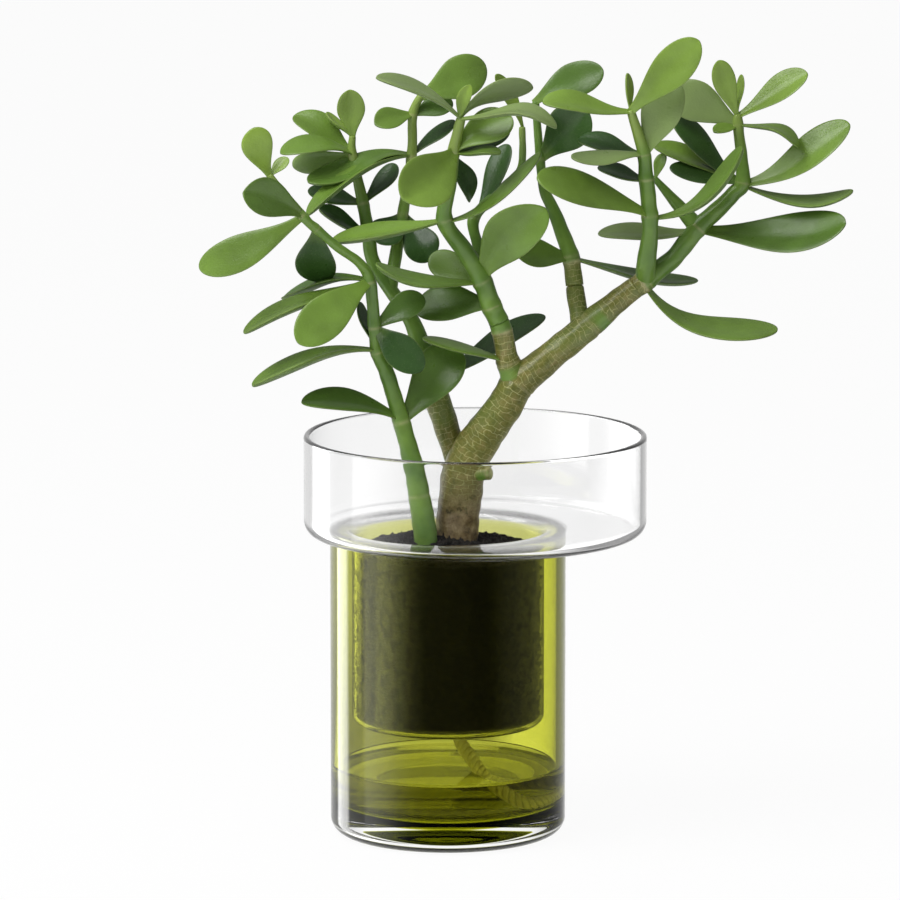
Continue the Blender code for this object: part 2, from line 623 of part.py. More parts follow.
for first_joint, (line, resolution) in feet.items():
    room = [(x, y, z, radius + FIT_GAP) for x, y, z, radius in line[:2 * STEM_STEPS + 1]]
    x, y, z, radius = room[0]
    room[0] = (x, y, z - FIT_GAP, radius)
    socket = add_cutter("socket_" + first_joint, tube_mesh("socket_" + first_joint, room, resolution))
    combine(soil, socket, "DIFFERENCE")
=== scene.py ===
import bmesh
import bpy
import numpy as np
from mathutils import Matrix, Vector


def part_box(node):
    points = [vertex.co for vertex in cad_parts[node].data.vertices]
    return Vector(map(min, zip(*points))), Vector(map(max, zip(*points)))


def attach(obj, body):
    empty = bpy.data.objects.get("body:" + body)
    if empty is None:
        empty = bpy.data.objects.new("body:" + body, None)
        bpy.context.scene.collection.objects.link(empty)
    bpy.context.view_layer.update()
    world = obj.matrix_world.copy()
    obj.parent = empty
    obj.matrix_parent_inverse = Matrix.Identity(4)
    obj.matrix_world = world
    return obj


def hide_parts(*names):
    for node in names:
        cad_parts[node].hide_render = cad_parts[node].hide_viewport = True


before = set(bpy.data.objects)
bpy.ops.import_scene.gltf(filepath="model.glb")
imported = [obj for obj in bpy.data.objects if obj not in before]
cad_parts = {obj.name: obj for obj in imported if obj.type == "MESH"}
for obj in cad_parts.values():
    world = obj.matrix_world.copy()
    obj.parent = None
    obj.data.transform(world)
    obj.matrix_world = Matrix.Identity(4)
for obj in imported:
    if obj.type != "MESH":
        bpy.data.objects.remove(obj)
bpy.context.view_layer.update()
mm = 0.001
scene = bpy.context.scene
scene.view_settings.view_transform = "Standard"
scene.cycles.max_bounces = 40  # a ray crosses up to twelve glass and water faces on its way through
scene.cycles.transmission_bounces = 40
scene.cycles.glossy_bounces = 10
print("frame loaded:", len(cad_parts), "nodes")

# The photo's view: a long lens, a little above the bowl's rim, level with the middle of the picture
cameraView = {
    "aim": (0.9 * mm, 0.0, 171.0 * mm),
    "distance": 2.797,
    "lookDown": 9.6,
    "pictureWidth": 396.0 * mm,  # what the picture spans at the vessel's axis
    "sensor": 36.0,
}


def makeCamera(view):
    # the camera stands on a line that rises lookDown degrees from the aim, towards the front
    fall = np.radians(view["lookDown"])
    away = Vector((0.0, -np.cos(fall), np.sin(fall)))
    data = bpy.data.cameras.new("photoCamera")
    data.sensor_width = view["sensor"]
    data.lens = view["sensor"] * view["distance"] / view["pictureWidth"]
    data.clip_end = 60.0
    camera = bpy.data.objects.new("photoCamera", data)
    camera.location = Vector(view["aim"]) + away * view["distance"]
    camera.rotation_euler = (-away).to_track_quat("-Z", "Y").to_euler()
    scene.collection.objects.link(camera)
    scene.camera = camera


makeCamera(cameraView)
print("camera set")


# Mesh tools

def putMesh(name, points, quads, tris, values=None):
    # points (n, 3) with faces as index arrays; values are numbers for each point, kept as attributes
    mesh = bpy.data.meshes.new(name)
    corners = np.concatenate([quads.ravel(), tris.ravel()]).astype(np.int32)
    sizes = np.concatenate([np.full(len(quads), 4), np.full(len(tris), 3)])
    mesh.vertices.add(len(points))
    mesh.vertices.foreach_set("co", np.asarray(points, np.float32).ravel())
    mesh.loops.add(len(corners))
    mesh.loops.foreach_set("vertex_index", corners)
    mesh.polygons.add(len(sizes))
    mesh.polygons.foreach_set("loop_start", (np.cumsum(sizes) - sizes).astype(np.int32))
    mesh.polygons.foreach_set("use_smooth", np.ones(len(sizes), bool))
    mesh.update(calc_edges=True)
    for key, numbers in (values or {}).items():
        layer = mesh.attributes.new(key, "FLOAT", "POINT")
        layer.data.foreach_set("value", np.asarray(numbers, np.float32).ravel())
    return mesh


def tubeFaces(count, rings, sides):
    # count closed tubes, each a first pole, rings x sides points and a last pole
    j = np.arange(sides)
    k = (j + 1) % sides
    i = np.arange(rings - 1)[:, None] * sides + 1
    quads = np.stack([i + j, i + k, i + sides + k, i + sides + j], axis=-1).reshape(-1, 4)
    end = rings * sides + 1
    last = end - sides
    first = np.stack([np.zeros_like(j), 1 + k, 1 + j], axis=-1)
    close = np.stack([np.full_like(j, end), last + j, last + k], axis=-1)
    tris = np.vstack([first, close])
    step = (np.arange(count) * (end + 1))[:, None, None]
    return (quads + step).reshape(-1, 4), (tris + step).reshape(-1, 3)


def tubeMesh(name, firstPoles, grid, lastPoles, values=None):
    # grid (count, rings, sides, 3) with a pole for each end; values are grids, whose ends serve the poles
    count, rings, sides = grid.shape[:3]
    points = np.concatenate([firstPoles[:, None], grid.reshape(count, -1, 3), lastPoles[:, None]], axis=1)
    kept = {}
    for key, numbers in (values or {}).items():
        flat = np.broadcast_to(numbers, (count, rings, sides)).reshape(count, -1)
        kept[key] = np.concatenate([flat[:, :1], flat, flat[:, -1:]], axis=1)
    quads, tris = tubeFaces(count, rings, sides)
    return putMesh(name, points.reshape(-1, 3), quads, tris, kept)


def arcLine(centreR, centreZ, radius, start, end, steps):
    # points of a circle, or of an ellipse with two radii, from one angle to another, in degrees
    angle = np.radians(np.linspace(start, end, steps + 1))
    return np.array((centreR, centreZ)) + radius * np.stack([np.cos(angle), np.sin(angle)], axis=-1)


def withSupport(profile, near):
    # a long straight run gets a point close to each of its ends, so that smooth shading stays flat on it
    steps = np.diff(profile, axis=0)
    lengths = np.linalg.norm(steps[:, :3], axis=1, keepdims=True)
    long = lengths[:, 0] > 4 * near
    way = steps / lengths * near
    rows = np.stack([profile[:-1], profile[:-1] + way, profile[1:] - way], axis=1)
    keep = np.stack([np.ones_like(long), long, long], axis=1)
    return np.vstack([rows[keep], profile[-1:]])


def turned(profile, sides):
    # profile rows are (centre x, radius, height), each turned into a ring about its own centre
    angle = np.linspace(0.0, 2 * np.pi, sides, endpoint=False)
    x = profile[:, 0, None] + profile[:, 1, None] * np.cos(angle)
    y = profile[:, 1, None] * np.sin(angle)
    z = np.broadcast_to(profile[:, 2, None], x.shape)
    return np.stack([x, y, z], axis=-1)


def onAxis(profile, centre=0.0):
    # (radius, height) rows with their centre in front
    return np.column_stack([np.full(len(profile), centre), profile])


def turnedMesh(name, profile, sides, near=0.6 * mm, values=None):
    # a turned solid whose first and last profile points lie on the axis
    rows = onAxis(withSupport(profile, near))
    poles = np.column_stack([rows[:, 0], np.zeros(len(rows)), rows[:, 2]])
    return tubeMesh(name, poles[:1], turned(rows[1:-1], sides)[None], poles[-1:], values)


def smoothLine(points, steps):
    # Catmull-Rom: a cubic between each two points, whose slope at a point is half the step past it
    points = np.asarray(points, float)
    a = np.vstack([points[:1], points[:-2]])[:, None]
    b = points[:-1, None]
    c = points[1:, None]
    d = np.vstack([points[2:], points[-1:]])[:, None]
    t = np.arange(steps)[None, :, None] / steps
    square, cube = 2 * a - 5 * b + 4 * c - d, 3 * b - a - 3 * c + d
    curve = 0.5 * (2 * b + (c - a) * t + square * t ** 2 + cube * t ** 3)
    return np.vstack([curve.reshape(-1, points.shape[1]), points[-1:]])


def unit(vectors):
    # each vector over its length
    return vectors / np.maximum(np.linalg.norm(vectors, axis=-1, keepdims=True), 1e-12)


def ripple(points, wavelength, waves, draw):
    # smooth noise about 0: a sum of sine waves in random directions, with lengths about the one given
    way = unit(draw.normal(size=(waves, 3))) * (2 * np.pi / wavelength) * draw.uniform(0.6, 1.7, (waves, 1))
    phase = draw.uniform(0, 2 * np.pi, waves)
    return np.sin(points @ way.T + phase).sum(axis=-1) / np.sqrt(waves / 2)


def addPiece(name, mesh, look, body, slot, *nodes):
    # a piece that rides a body, in place of the nodes given
    piece = bpy.data.objects.new(name, mesh)
    scene.collection.objects.link(piece)
    mesh.materials.append(look)
    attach(piece, body)
    if nodes:
        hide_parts(*nodes)
    return piece


# Material tools

def setInputs(node, inputs):
    for key, value in inputs.items():
        node.inputs[key.replace("_", " ")].default_value = value


def newLook(name, colour, roughness, **inputs):
    # a material whose shader starts with these fixed values
    look = bpy.data.materials.new(name)
    look.use_nodes = True
    shader = look.node_tree.nodes["Principled BSDF"]
    setInputs(shader, {"Base Color": (*colour, 1.0), "Roughness": roughness, **inputs})
    return look, shader


def addNode(look, kind, settings=None, **inputs):
    node = look.node_tree.nodes.new(kind)
    for key, value in (settings or {}).items():
        setattr(node, key, value)
    setInputs(node, inputs)
    return node


def wire(look, output, socket):
    look.node_tree.links.new(output, socket)


def attribute(look, name):
    return addNode(look, "ShaderNodeAttribute", {"attribute_name": name}).outputs["Fac"]


def place(look):
    return addNode(look, "ShaderNodeTexCoord").outputs["Object"]


def noise(look, scale, detail=3.0, rough=0.5):
    node = addNode(look, "ShaderNodeTexNoise", Scale=scale, Detail=detail, Roughness=rough)
    wire(look, place(look), node.inputs["Vector"])
    return node.outputs["Fac"]


def cells(look, scale):
    # the distance to the nearest of many scattered points
    node = addNode(look, "ShaderNodeTexVoronoi", Scale=scale)
    wire(look, place(look), node.inputs["Vector"])
    return node.outputs["Distance"]


def axisOf(look, source, axis):
    node = addNode(look, "ShaderNodeSeparateXYZ")
    wire(look, source, node.inputs["Vector"])
    return node.outputs[axis]


def between(look, value, low, high, first=0.0, last=1.0):
    # first at low, last at high, straight between them and level beyond
    node = addNode(look, "ShaderNodeMapRange", From_Min=low, From_Max=high, To_Min=first, To_Max=last)
    wire(look, value, node.inputs["Value"])
    return node.outputs["Result"]


def bricks(look, source, width, row, line):
    # a wall of bricks: 1 on the joints, 0 between them
    node = addNode(look, "ShaderNodeTexBrick", {"offset": 0.5}, Scale=1.0, Mortar_Size=line,
                   Mortar_Smooth=0.7, Brick_Width=width, Row_Height=row)
    wire(look, source, node.inputs["Vector"])
    return node.outputs["Fac"]


def ramp(look, value, *stops):
    # stops are (position, colour or grey)
    node = addNode(look, "ShaderNodeValToRGB")
    elements = node.color_ramp.elements
    while len(elements) < len(stops):
        elements.new(0.5)
    for element, (position, colour) in zip(elements, stops):
        element.position = position
        element.color = (*colour, 1.0) if isinstance(colour, tuple) else (colour, colour, colour, 1.0)
    wire(look, value, node.inputs["Fac"])
    return node.outputs["Color"]


def blendColour(look, share, first, second, mode="MIX"):
    node = addNode(look, "ShaderNodeMix", {"data_type": "RGBA", "blend_type": mode})
    for value, socket in ((share, node.inputs[0]), (first, node.inputs[6]), (second, node.inputs[7])):
        if isinstance(value, tuple):
            socket.default_value = (*value, 1.0)
        elif isinstance(value, float):
            socket.default_value = value
        else:
            wire(look, value, socket)
    return node.outputs[2]


def sums(look, operation, first, second):
    # one step of arithmetic on numbers or sockets
    node = addNode(look, "ShaderNodeMath", {"operation": operation})
    for value, socket in ((first, node.inputs[0]), (second, node.inputs[1])):
        if isinstance(value, float):
            socket.default_value = value
        else:
            wire(look, value, socket)
    return node.outputs[0]


def times(look, first, second):
    return sums(look, "MULTIPLY", first, second)


def plus(look, first, second):
    return sums(look, "ADD", first, second)


def absorb(look, colour, density):
    # light is taken up along its way through the body
    depth = addNode(look, "ShaderNodeVolumeAbsorption", Color=(*colour, 1.0), Density=density)
    wire(look, depth.outputs["Volume"], look.node_tree.nodes["Material Output"].inputs["Volume"])


def bump(look, shader, height, strength, distance):
    node = addNode(look, "ShaderNodeBump", Strength=strength, Distance=distance)
    wire(look, height, node.inputs["Height"])
    wire(look, node.outputs["Normal"], shader.inputs["Normal"])


# The wick: a three-strand rope, held in the pot, with a free tail that lies in the water
wick = {
    "diameter": 6.0,
    "strand": 1.65,  # radius of one of the three strands, which press into each other
    "strandOut": 1.38,
    "lay": 9.0,  # one full turn of the strands
    "yarnLay": 5.0,
    "yarns": 5,
    "step": 0.45,
    "sides": 20,
    "fibres": 110,
    "fibreLength": (2.0, 5.0),
    "fibreThick": (0.10, 0.24),
    "fibreBack": 1.6,  # how far before the end they start
    "fibreSpread": (0.4, 2.7),  # and how far from the middle
    "fibreLowest": 15.2,
    "fibreSag": 0.12,
    "wetBetween": (30.0, 40.0),  # heights where the cotton turns from wet to dry
    "topAboveFoot": 43.8,
    "offset": 4.0,  # how far from the pot's middle it comes out
    "tail": [
        (4.0, 0.0, 48.7), (4.3, -0.5, 44.8), (5.4, -2.1, 41.2), (7.1, -4.6, 38.3), (10.0, -8.9, 34.9),
        (12.9, -13.2, 31.5), (15.7, -17.4, 28.2), (19.6, -21.1, 24.6), (24.7, -23.0, 20.9),
        (30.1, -22.6, 18.1), (34.9, -20.1, 17.2), (38.2, -15.8, 17.2), (40.3, -8.7, 17.2), (41.3, -1.0, 17.2),
        (41.0, 6.6, 17.2),
        (39.3, 14.0, 17.2), (36.2, 20.8, 17.2), (31.8, 26.7, 17.2), (26.2, 31.3, 17.2), (19.6, 34.4, 17.2),
        (12.4, 36.0, 17.2), (4.0, 36.4, 17.2),
    ],
}


def evenLine(line, step):
    # the same line with its points a steady step apart
    way = np.concatenate([[0.0], np.cumsum(np.linalg.norm(np.diff(line[:, :3], axis=0), axis=1))])
    at = np.linspace(0.0, way[-1], int(np.ceil(way[-1] / step)) + 1)
    return np.column_stack([np.interp(at, way, line[:, c]) for c in range(line.shape[1])]), at


def carriedFrame(line):
    # two directions square to the line, each carried from ring to ring without twist
    along = unit(np.gradient(line, axis=0))
    first = np.zeros_like(along)
    first[0] = unit(np.cross(along[0], (0.3, 1.0, 0.2)))
    for i in range(1, len(line)):
        first[i] = unit(first[i - 1] - along[i] * (first[i - 1] @ along[i]))
    return along, first, np.cross(along, first)


def ropeGrid(line, at, size):
    # strand k runs on a helix about the line; its section is a circle with small lobes, the yarns,
    # which turn the other way
    strandR = size["strand"] * mm
    along, first, second = carriedFrame(line)
    turn = 2 * np.pi * (at[None] / (size["lay"] * mm) + np.arange(3)[:, None] / 3)
    out = np.cos(turn)[..., None] * first + np.sin(turn)[..., None] * second
    centre = line + out * size["strandOut"] * mm
    strandWay = unit(np.gradient(centre, axis=1))
    acrossWay = unit(np.cross(strandWay, out))
    outWay = np.cross(acrossWay, strandWay)
    angle = np.linspace(0, 2 * np.pi, size["sides"], endpoint=False)
    yarn = angle - 2 * np.pi * at[:, None] / (size["yarnLay"] * mm)
    radius = strandR * (0.97 + 0.07 * np.abs(np.cos(size["yarns"] * yarn / 2)))
    ring = np.cos(angle)[:, None] * outWay[:, :, None] + np.sin(angle)[:, None] * acrossWay[:, :, None]
    grid = centre[:, :, None] + ring * radius[None, :, :, None]
    return centre, grid


def hairs(starts, ways, lengths, thickness, sag, rings=6):
    # tapering three-sided fibres that start along a way and sag by the square of their run
    t = np.linspace(0, 1, rings)[None, :, None]
    run = lengths[:, None, None] * t
    line = starts[:, None] + ways[:, None] * run
    line[..., 2] -= (sag * lengths[:, None] * t[..., 0] ** 2)
    side = unit(np.cross(ways, (0.31, 0.17, 0.94)))
    other = np.cross(ways, side)
    angle = np.arange(3) * 2 * np.pi / 3
    ring = np.cos(angle)[:, None] * side[:, None] + np.sin(angle)[:, None] * other[:, None]
    grid = line[:, :, None] + ring[:, None] * (thickness[:, None, None, None] * (1.05 - t[..., None]))
    return line, grid


def mergeMeshes(name, *meshes):
    # one mesh from several, with their attributes
    whole = bmesh.new()
    for mesh in meshes:
        whole.from_mesh(mesh)
        bpy.data.meshes.remove(mesh)
    made = bpy.data.meshes.new(name)
    whole.to_mesh(made)
    whole.free()
    made.polygons.foreach_set("use_smooth", np.ones(len(made.polygons), bool))
    return made


def ropeMesh(name, line, size, frayed):
    # the three strands, and a fringe of loose fibres at a frayed end
    line, at = evenLine(line, size["step"] * mm)
    centre, grid = ropeGrid(line, at, size)
    outer = np.cos(np.linspace(0, 2 * np.pi, size["sides"], endpoint=False)) / 2 + 0.5
    made = tubeMesh(name, centre[:, 0], grid, centre[:, -1], {"outer": outer})
    if not frayed:
        return made, line
    endWay = unit(line[-1] - line[-4])
    count = size["fibres"]
    draw = np.random.default_rng(5)
    spread = unit(draw.normal(size=(count, 3)))
    starts = line[-1] - endWay * draw.uniform(0.0, size["fibreBack"], (count, 1)) * mm
    across = spread - endWay * (spread @ endWay)[:, None]
    starts = starts + across * draw.uniform(*size["fibreSpread"], (count, 1)) * mm
    ways = unit(endWay + 0.75 * spread * draw.uniform(0.2, 1.0, (count, 1)))
    lengths = draw.uniform(*size["fibreLength"], count) * mm
    starts[:, 2] = np.maximum(starts[:, 2], size["fibreLowest"] * mm)
    ways[:, 2] = np.clip(ways[:, 2], -0.1, 0.6)
    thickness = draw.uniform(*size["fibreThick"], count) * mm
    loose, hairGrid = hairs(starts, ways, lengths, thickness, size["fibreSag"])
    fringe = tubeMesh(name + "Fringe", loose[:, 0], hairGrid, loose[:, -1], {"outer": 1.0})
    return mergeMeshes(name, made, fringe), line


def ropeLook():
    # cotton: pale straw, a little darker where it is wet, with painted shade on the inner side of each
    # strand, between the strands, and with fine fibres
    look, shader = newLook("wickCotton", (0.5, 0.44, 0.2), 0.95)
    tone = ramp(look, noise(look, 900.0, 4.0), (0.3, (0.76, 0.71, 0.50)), (0.7, (0.95, 0.91, 0.72)))
    low, high = np.array(wick["wetBetween"]) * mm
    damp = between(look, axisOf(look, place(look), "Z"), low, high, 0.15, 0.0)
    tone = blendColour(look, damp, tone, (0.55, 0.50, 0.26))
    # painted shade: each strand darkens towards its inner side, where the strands press together
    deep = ramp(look, attribute(look, "outer"), (0.50, 0.10), (0.92, 1.0))
    wire(look, blendColour(look, 1.0, tone, deep, "MULTIPLY"), shader.inputs["Base Color"])
    bump(look, shader, noise(look, 2600.0, 2.0), 0.6, 0.0004)
    return look


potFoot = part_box("pot_insert")[0].z
cotton = ropeLook()
tailRoute = smoothLine(np.array(wick["tail"]) * mm, 24)
tailMesh, tailPath = ropeMesh("wick_tail_rope", tailRoute, wick, True)
wickTail = addPiece("wick_tail_rope", tailMesh, cotton, "insert", "wick_cotton", "wick_tail")
upperX = wick["offset"] * mm
upperRoute = np.linspace((upperX, 0, potFoot), (upperX, 0, potFoot + wick["topAboveFoot"] * mm), 8)
upperMesh = ropeMesh("wick_upper_rope", upperRoute, wick, False)[0]
addPiece("wick_upper_rope", upperMesh, cotton, "insert", "wick_cotton", "wick_upper")


# The glass: a vessel of clear glass cased inside with green, and a clear insert that rests on its rim
vessel = {
    "wall": 4.0,
    "base": 13.0,
    "baseEdge": (7.0, 7.0),  # the round at the foot, across and up
    "punt": (3.8, 32.0),  # the hollow under the foot: depth and radius
    "floorEdge": 6.0,
    "casing": 1.9,  # thickness of the green layer on the wall and on the floor
    "casingFloor": 3.0,
    "casingSkin": 0.06,  # clear glass left over it
    "casingTop": 1.2,  # how far below the rim it ends
    "wave": 0.012,  # how uneven the polished face is
    "sides": 224,
}
insert = {
    "wall": 2.6,
    "bowlFloor": 2.8,
    "bowlHeight": 44.0,
    "bowlEdge": 6.0,
    "potWall": 1.8,
    "potFloor": 1.8,
    "potEdge": 5.0,
    "potRadius": 42.5,
    "shoulder": 4.0,
    "mouth": 6.0,
    "wickHole": 4.5,
    "seat": 52.4,  # the ground ring that rests on the vessel reaches out to here
    "ground": 0.25,  # its roughness
    "wave": 0.012,
    "holeEdge": 0.5,
    "sides": 256,
}
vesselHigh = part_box("reservoir_vessel")[1]
insertLow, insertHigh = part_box("pot_insert")
vesselR = vesselHigh.x
boreR = vesselR - vessel["wall"] * mm
baseZ = vessel["base"] * mm


def glassLook(name, wave, ground=0.0):
    # polished glass, its face a little uneven as blown glass is, and satin where it is ground
    look, shader = newLook(name, (1.0, 1.0, 1.0), 0.0, Transmission_Weight=1.0, IOR=1.5)
    bump(look, shader, noise(look, 26.0, 1.0), wave, 0.002)
    if ground:
        satin = ramp(look, attribute(look, "ground"), (0.0, 0.0), (1.0, ground))
        wire(look, satin, shader.inputs["Roughness"])
    return look


def casingLook():
    # the green layer has the glass's own index around it, so it only takes up light
    look = newLook("oliveCasing", (1.0, 1.0, 1.0), 0.0, Transmission_Weight=1.0, IOR=1.0,
                   Specular_IOR_Level=0.0)[0]
    absorb(look, (0.785, 0.795, 0.10), 780.0)
    return look


def cupProfile(innerR, floorZ, floorEdge, topZ, outerR, bottomZ, edge, edgeSteps, punt=(0.0, 0.0)):
    # from under the middle, where a punt is hollowed as a paraboloid, up the outside, over a round rim and
    # down the inside to the middle
    lip = (outerR - innerR) / 2
    share = np.linspace(0, 1, 17 if punt[0] else 1)
    return np.vstack([
        np.column_stack([punt[1] * mm * share, bottomZ + punt[0] * mm * (1 - share ** 2)]),
        arcLine(outerR - edge[0], bottomZ + edge[1], np.array(edge), -90, 0, edgeSteps),
        arcLine(outerR - lip, topZ - lip, lip, 0, 180, 14),
        arcLine(innerR - floorEdge, floorZ + floorEdge, floorEdge, 0, -90, 12),
        [(0.0, floorZ)],
    ])


def insertProfile(size):
    # closed line of (centre, radius, height): up the bowl's outside, over its rim, down inside, across its
    # floor to the mouth, down the pot to the wick's hole, out of it and up the pot's outside; a fourth number
    # is 1 where the glass is ground
    bowlR = (insertHigh.x - insertLow.x) / 2
    offset = (insertHigh.x + insertLow.x) / 2
    rimZ = insertHigh.z
    seatZ = rimZ - size["bowlHeight"] * mm
    floorZ = seatZ + size["bowlFloor"] * mm
    wall, edge, mouth = size["wall"] * mm, size["bowlEdge"] * mm, size["mouth"] * mm
    potR, potWall, potEdge = size["potRadius"] * mm, size["potWall"] * mm, size["potEdge"] * mm
    hole, holeEdge, shoulder = size["wickHole"] * mm, size["holeEdge"] * mm, size["shoulder"] * mm
    potIn = potR - potWall
    inEdge = edge - wall
    footEdge = potEdge - potWall
    potFloorZ = insertLow.z + size["potFloor"] * mm
    bowl = np.vstack([
        arcLine(bowlR - edge, seatZ + edge, edge, -90, 0, 14),
        arcLine(bowlR - wall / 2, rimZ - wall / 2, wall / 2, 0, 180, 14),
        arcLine(bowlR - edge, floorZ + inEdge, inEdge, 0, -90, 12),
    ])
    inside = np.vstack([
        arcLine(potIn + mouth, floorZ - mouth, mouth, 90, 180, 16),
        arcLine(potIn - footEdge, potFloorZ + footEdge, footEdge, 0, -90, 8),
    ])
    drain = np.vstack([
        arcLine(hole + holeEdge, potFloorZ - holeEdge, holeEdge, 90, 180, 4),
        arcLine(hole + holeEdge, insertLow.z + holeEdge, holeEdge, 180, 270, 4),
    ])
    outside = arcLine(potR - potEdge, insertLow.z + potEdge, potEdge, -90, 0, 10)
    seat = size["seat"] * mm
    ground = np.vstack([
        arcLine(potR + shoulder, seatZ - shoulder, shoulder, 180, 90, 12),
        [(seat, seatZ), (seat + 0.4 * mm, seatZ)],
    ])
    satin = np.concatenate([np.clip(np.arange(13) / 3, 0, 1), [1.0, 0.0]])
    rows = np.vstack([onAxis(bowl, offset), onAxis(inside), onAxis(drain, wick["offset"] * mm),
                      onAxis(outside), onAxis(ground)])
    return np.column_stack([rows, np.concatenate([np.zeros(len(rows) - len(satin)), satin])])


def loopMesh(name, profile, sides):
    # a closed profile turned into a ring-shaped solid
    rows = withSupport(np.vstack([profile, profile[:1]]), 0.6 * mm)[:-1]
    grid = turned(rows, sides)
    i = np.arange(len(rows))[:, None] * sides
    n = (i + sides) % (len(rows) * sides)
    j = np.arange(sides)
    k = (j + 1) % sides
    quads = np.stack([i + j, i + k, n + k, n + j], axis=-1).reshape(-1, 4)
    ground = np.repeat(rows[:, 3], sides)
    return putMesh(name, grid.reshape(-1, 3), quads, np.zeros((0, 3), int), {"ground": ground})


skin = vessel["casingSkin"] * mm
casing = vessel["casing"] * mm
casingFloor = vessel["casingFloor"] * mm
floorEdge = vessel["floorEdge"] * mm
vesselMesh = turnedMesh("reservoir_vessel_glass", cupProfile(
    boreR, baseZ, floorEdge, vesselHigh.z, vesselR, 0.0, np.array(vessel["baseEdge"]) * mm, 16,
    vessel["punt"]), vessel["sides"])
addPiece("reservoir_vessel_glass", vesselMesh, glassLook("vesselGlass", vessel["wave"]), "vessel",
         "vessel_glass", "reservoir_vessel")
casingMesh = turnedMesh("reservoir_green_casing", cupProfile(
    boreR + skin, baseZ - skin, floorEdge + skin, vesselHigh.z - vessel["casingTop"] * mm,
    boreR + skin + casing, baseZ - skin - casingFloor,
    np.array((casing, casingFloor)) + floorEdge + skin, 12), vessel["sides"])
addPiece("reservoir_green_casing", casingMesh, casingLook(), "vessel", "vessel_glass")
insertMesh = loopMesh("pot_insert_glass", insertProfile(insert), insert["sides"])
addPiece("pot_insert_glass", insertMesh, glassLook("insertGlass", insert["wave"], insert["ground"]), "insert",
         "clear_glass", "pot_insert")
print("glass made")


# The water: it wets the glass, so it reaches a hair into the wall and climbs in a small rim at its edge
water = {"overlap": 0.03, "meniscus": 1.6, "meniscusWidth": 2.4}


def waterProfile(size):
    # round the floor's edge, up the wall to the meniscus, which falls off with the power 2.5, and flat on top
    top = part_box("water")[1].z
    outR = boreR + size["overlap"] * mm
    lowZ = baseZ - size["overlap"] * mm
    edge = floorEdge + size["overlap"] * mm
    share = np.linspace(1, 0, 9)
    rim = np.column_stack([outR - (1 - share) * size["meniscusWidth"] * mm,
                           top + size["meniscus"] * mm * share ** 2.5])
    return np.vstack([[(0.0, lowZ)], arcLine(outR - edge, lowZ + edge, edge, -90, 0, 12), rim, [(0.0, top)]])


def waterLook():
    # clear, with a trace of what the cotton and the soil give off
    look, shader = newLook("water", (1.0, 1.0, 1.0), 0.0, Transmission_Weight=1.0, IOR=1.33)
    absorb(look, (0.60, 0.59, 0.25), 38.0)
    bump(look, shader, noise(look, 40.0, 1.0), 0.03, 0.001)
    return look


waterMesh = turnedMesh("water_body", waterProfile(water), vessel["sides"])
addPiece("water_body", waterMesh, waterLook(), "vessel", "water", "water")
print("water made")


# The soil: a plug pressed against the pot, with crumbs on top and specks on the glass
soil = {
    "mound": 4.0,
    "edge": 3.2,
    "channel": 3.45,  # radius of the wick's channel
    "wickRoom": 0.3,  # left above the wick
    "sides": 330,
    "press": 0.33,  # how far past its solid the soil reaches, so that it wets the glass in many small places
    "topLumps": 1.3,
    "sideLumps": 0.26,
    "heap": (3.2, -9.0, 24.0, 20.0),  # height, middle and spread of the soil heaped about the stems
    "crumbs": 2200,
    "crumbSize": (0.45, 1.9),
    "specks": 5200,
    "speckSize": (0.14, 0.5),
}
soilLow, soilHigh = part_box("potting_soil")
soilR = soilHigh.x + soil["press"] * mm
soilTop = soilHigh.z


def moundDrop(r):
    # how far the top lies below its middle: a smooth dome, steepest past the half radius
    return soil["mound"] * mm * (r / soilR) ** 2.2


def heapRise(x, y):
    # a bell-shaped heap
    height, middle, spreadX, spreadY = np.array(soil["heap"]) * mm
    return height * np.exp(-((x - middle) / spreadX) ** 2 - (y / spreadY) ** 2)


def soilMesh(size):
    # a turned plug: down the wick's channel, round the edge, up the wall and over the dome, with lumps pushed
    # in at the side and raised on top
    wickTop = potFoot + (wick["topAboveFoot"] + size["wickRoom"]) * mm
    channel = size["channel"] * mm
    edge = size["edge"] * mm
    topR = np.linspace(soilR, 0.0, 60)
    wallZ = np.linspace(soilLow.z + edge, soilTop - size["mound"] * mm, 130)[1:-1]
    profile = np.vstack([
        [(0.0, wickTop), (channel, wickTop), (channel, soilLow.z)],
        arcLine(soilR - edge, soilLow.z + edge, edge, -90, 0, 8),
        np.column_stack([np.full(len(wallZ), soilR), wallZ]),
        np.column_stack([topR, soilTop - moundDrop(topR)]),
    ])
    rows = onAxis(profile)
    rows[:3, 0] = wick["offset"] * mm
    grid = turned(rows[1:-1], size["sides"])
    draw = np.random.default_rng(3)
    lumps = 0.55 * ripple(grid, 5.0 * mm, 30, draw) + 0.6 * ripple(grid, 1.9 * mm, 40, draw)
    radius = np.linalg.norm(grid[..., :2], axis=-1)
    onTop = np.clip((grid[..., 2] - soilTop + 5.0 * mm) / (3.0 * mm), 0, 1)
    outside = np.arange(len(grid))[:, None] > 1
    inward = np.clip(lumps + 0.15, 0, 2) * size["sideLumps"] * mm * outside
    grid[..., :2] *= (1 - inward / np.maximum(radius, channel))[..., None]
    grid[..., 2] += onTop * ((lumps - 0.8) * size["topLumps"] * mm + heapRise(grid[..., 0], grid[..., 1]))
    poles = np.column_stack([rows[:, 0], np.zeros(len(rows)), rows[:, 2]])
    poles[-1, 2] = grid[-1, :, 2].mean()
    return tubeMesh("soil_plug", poles[:1], grid[None], poles[-1:])


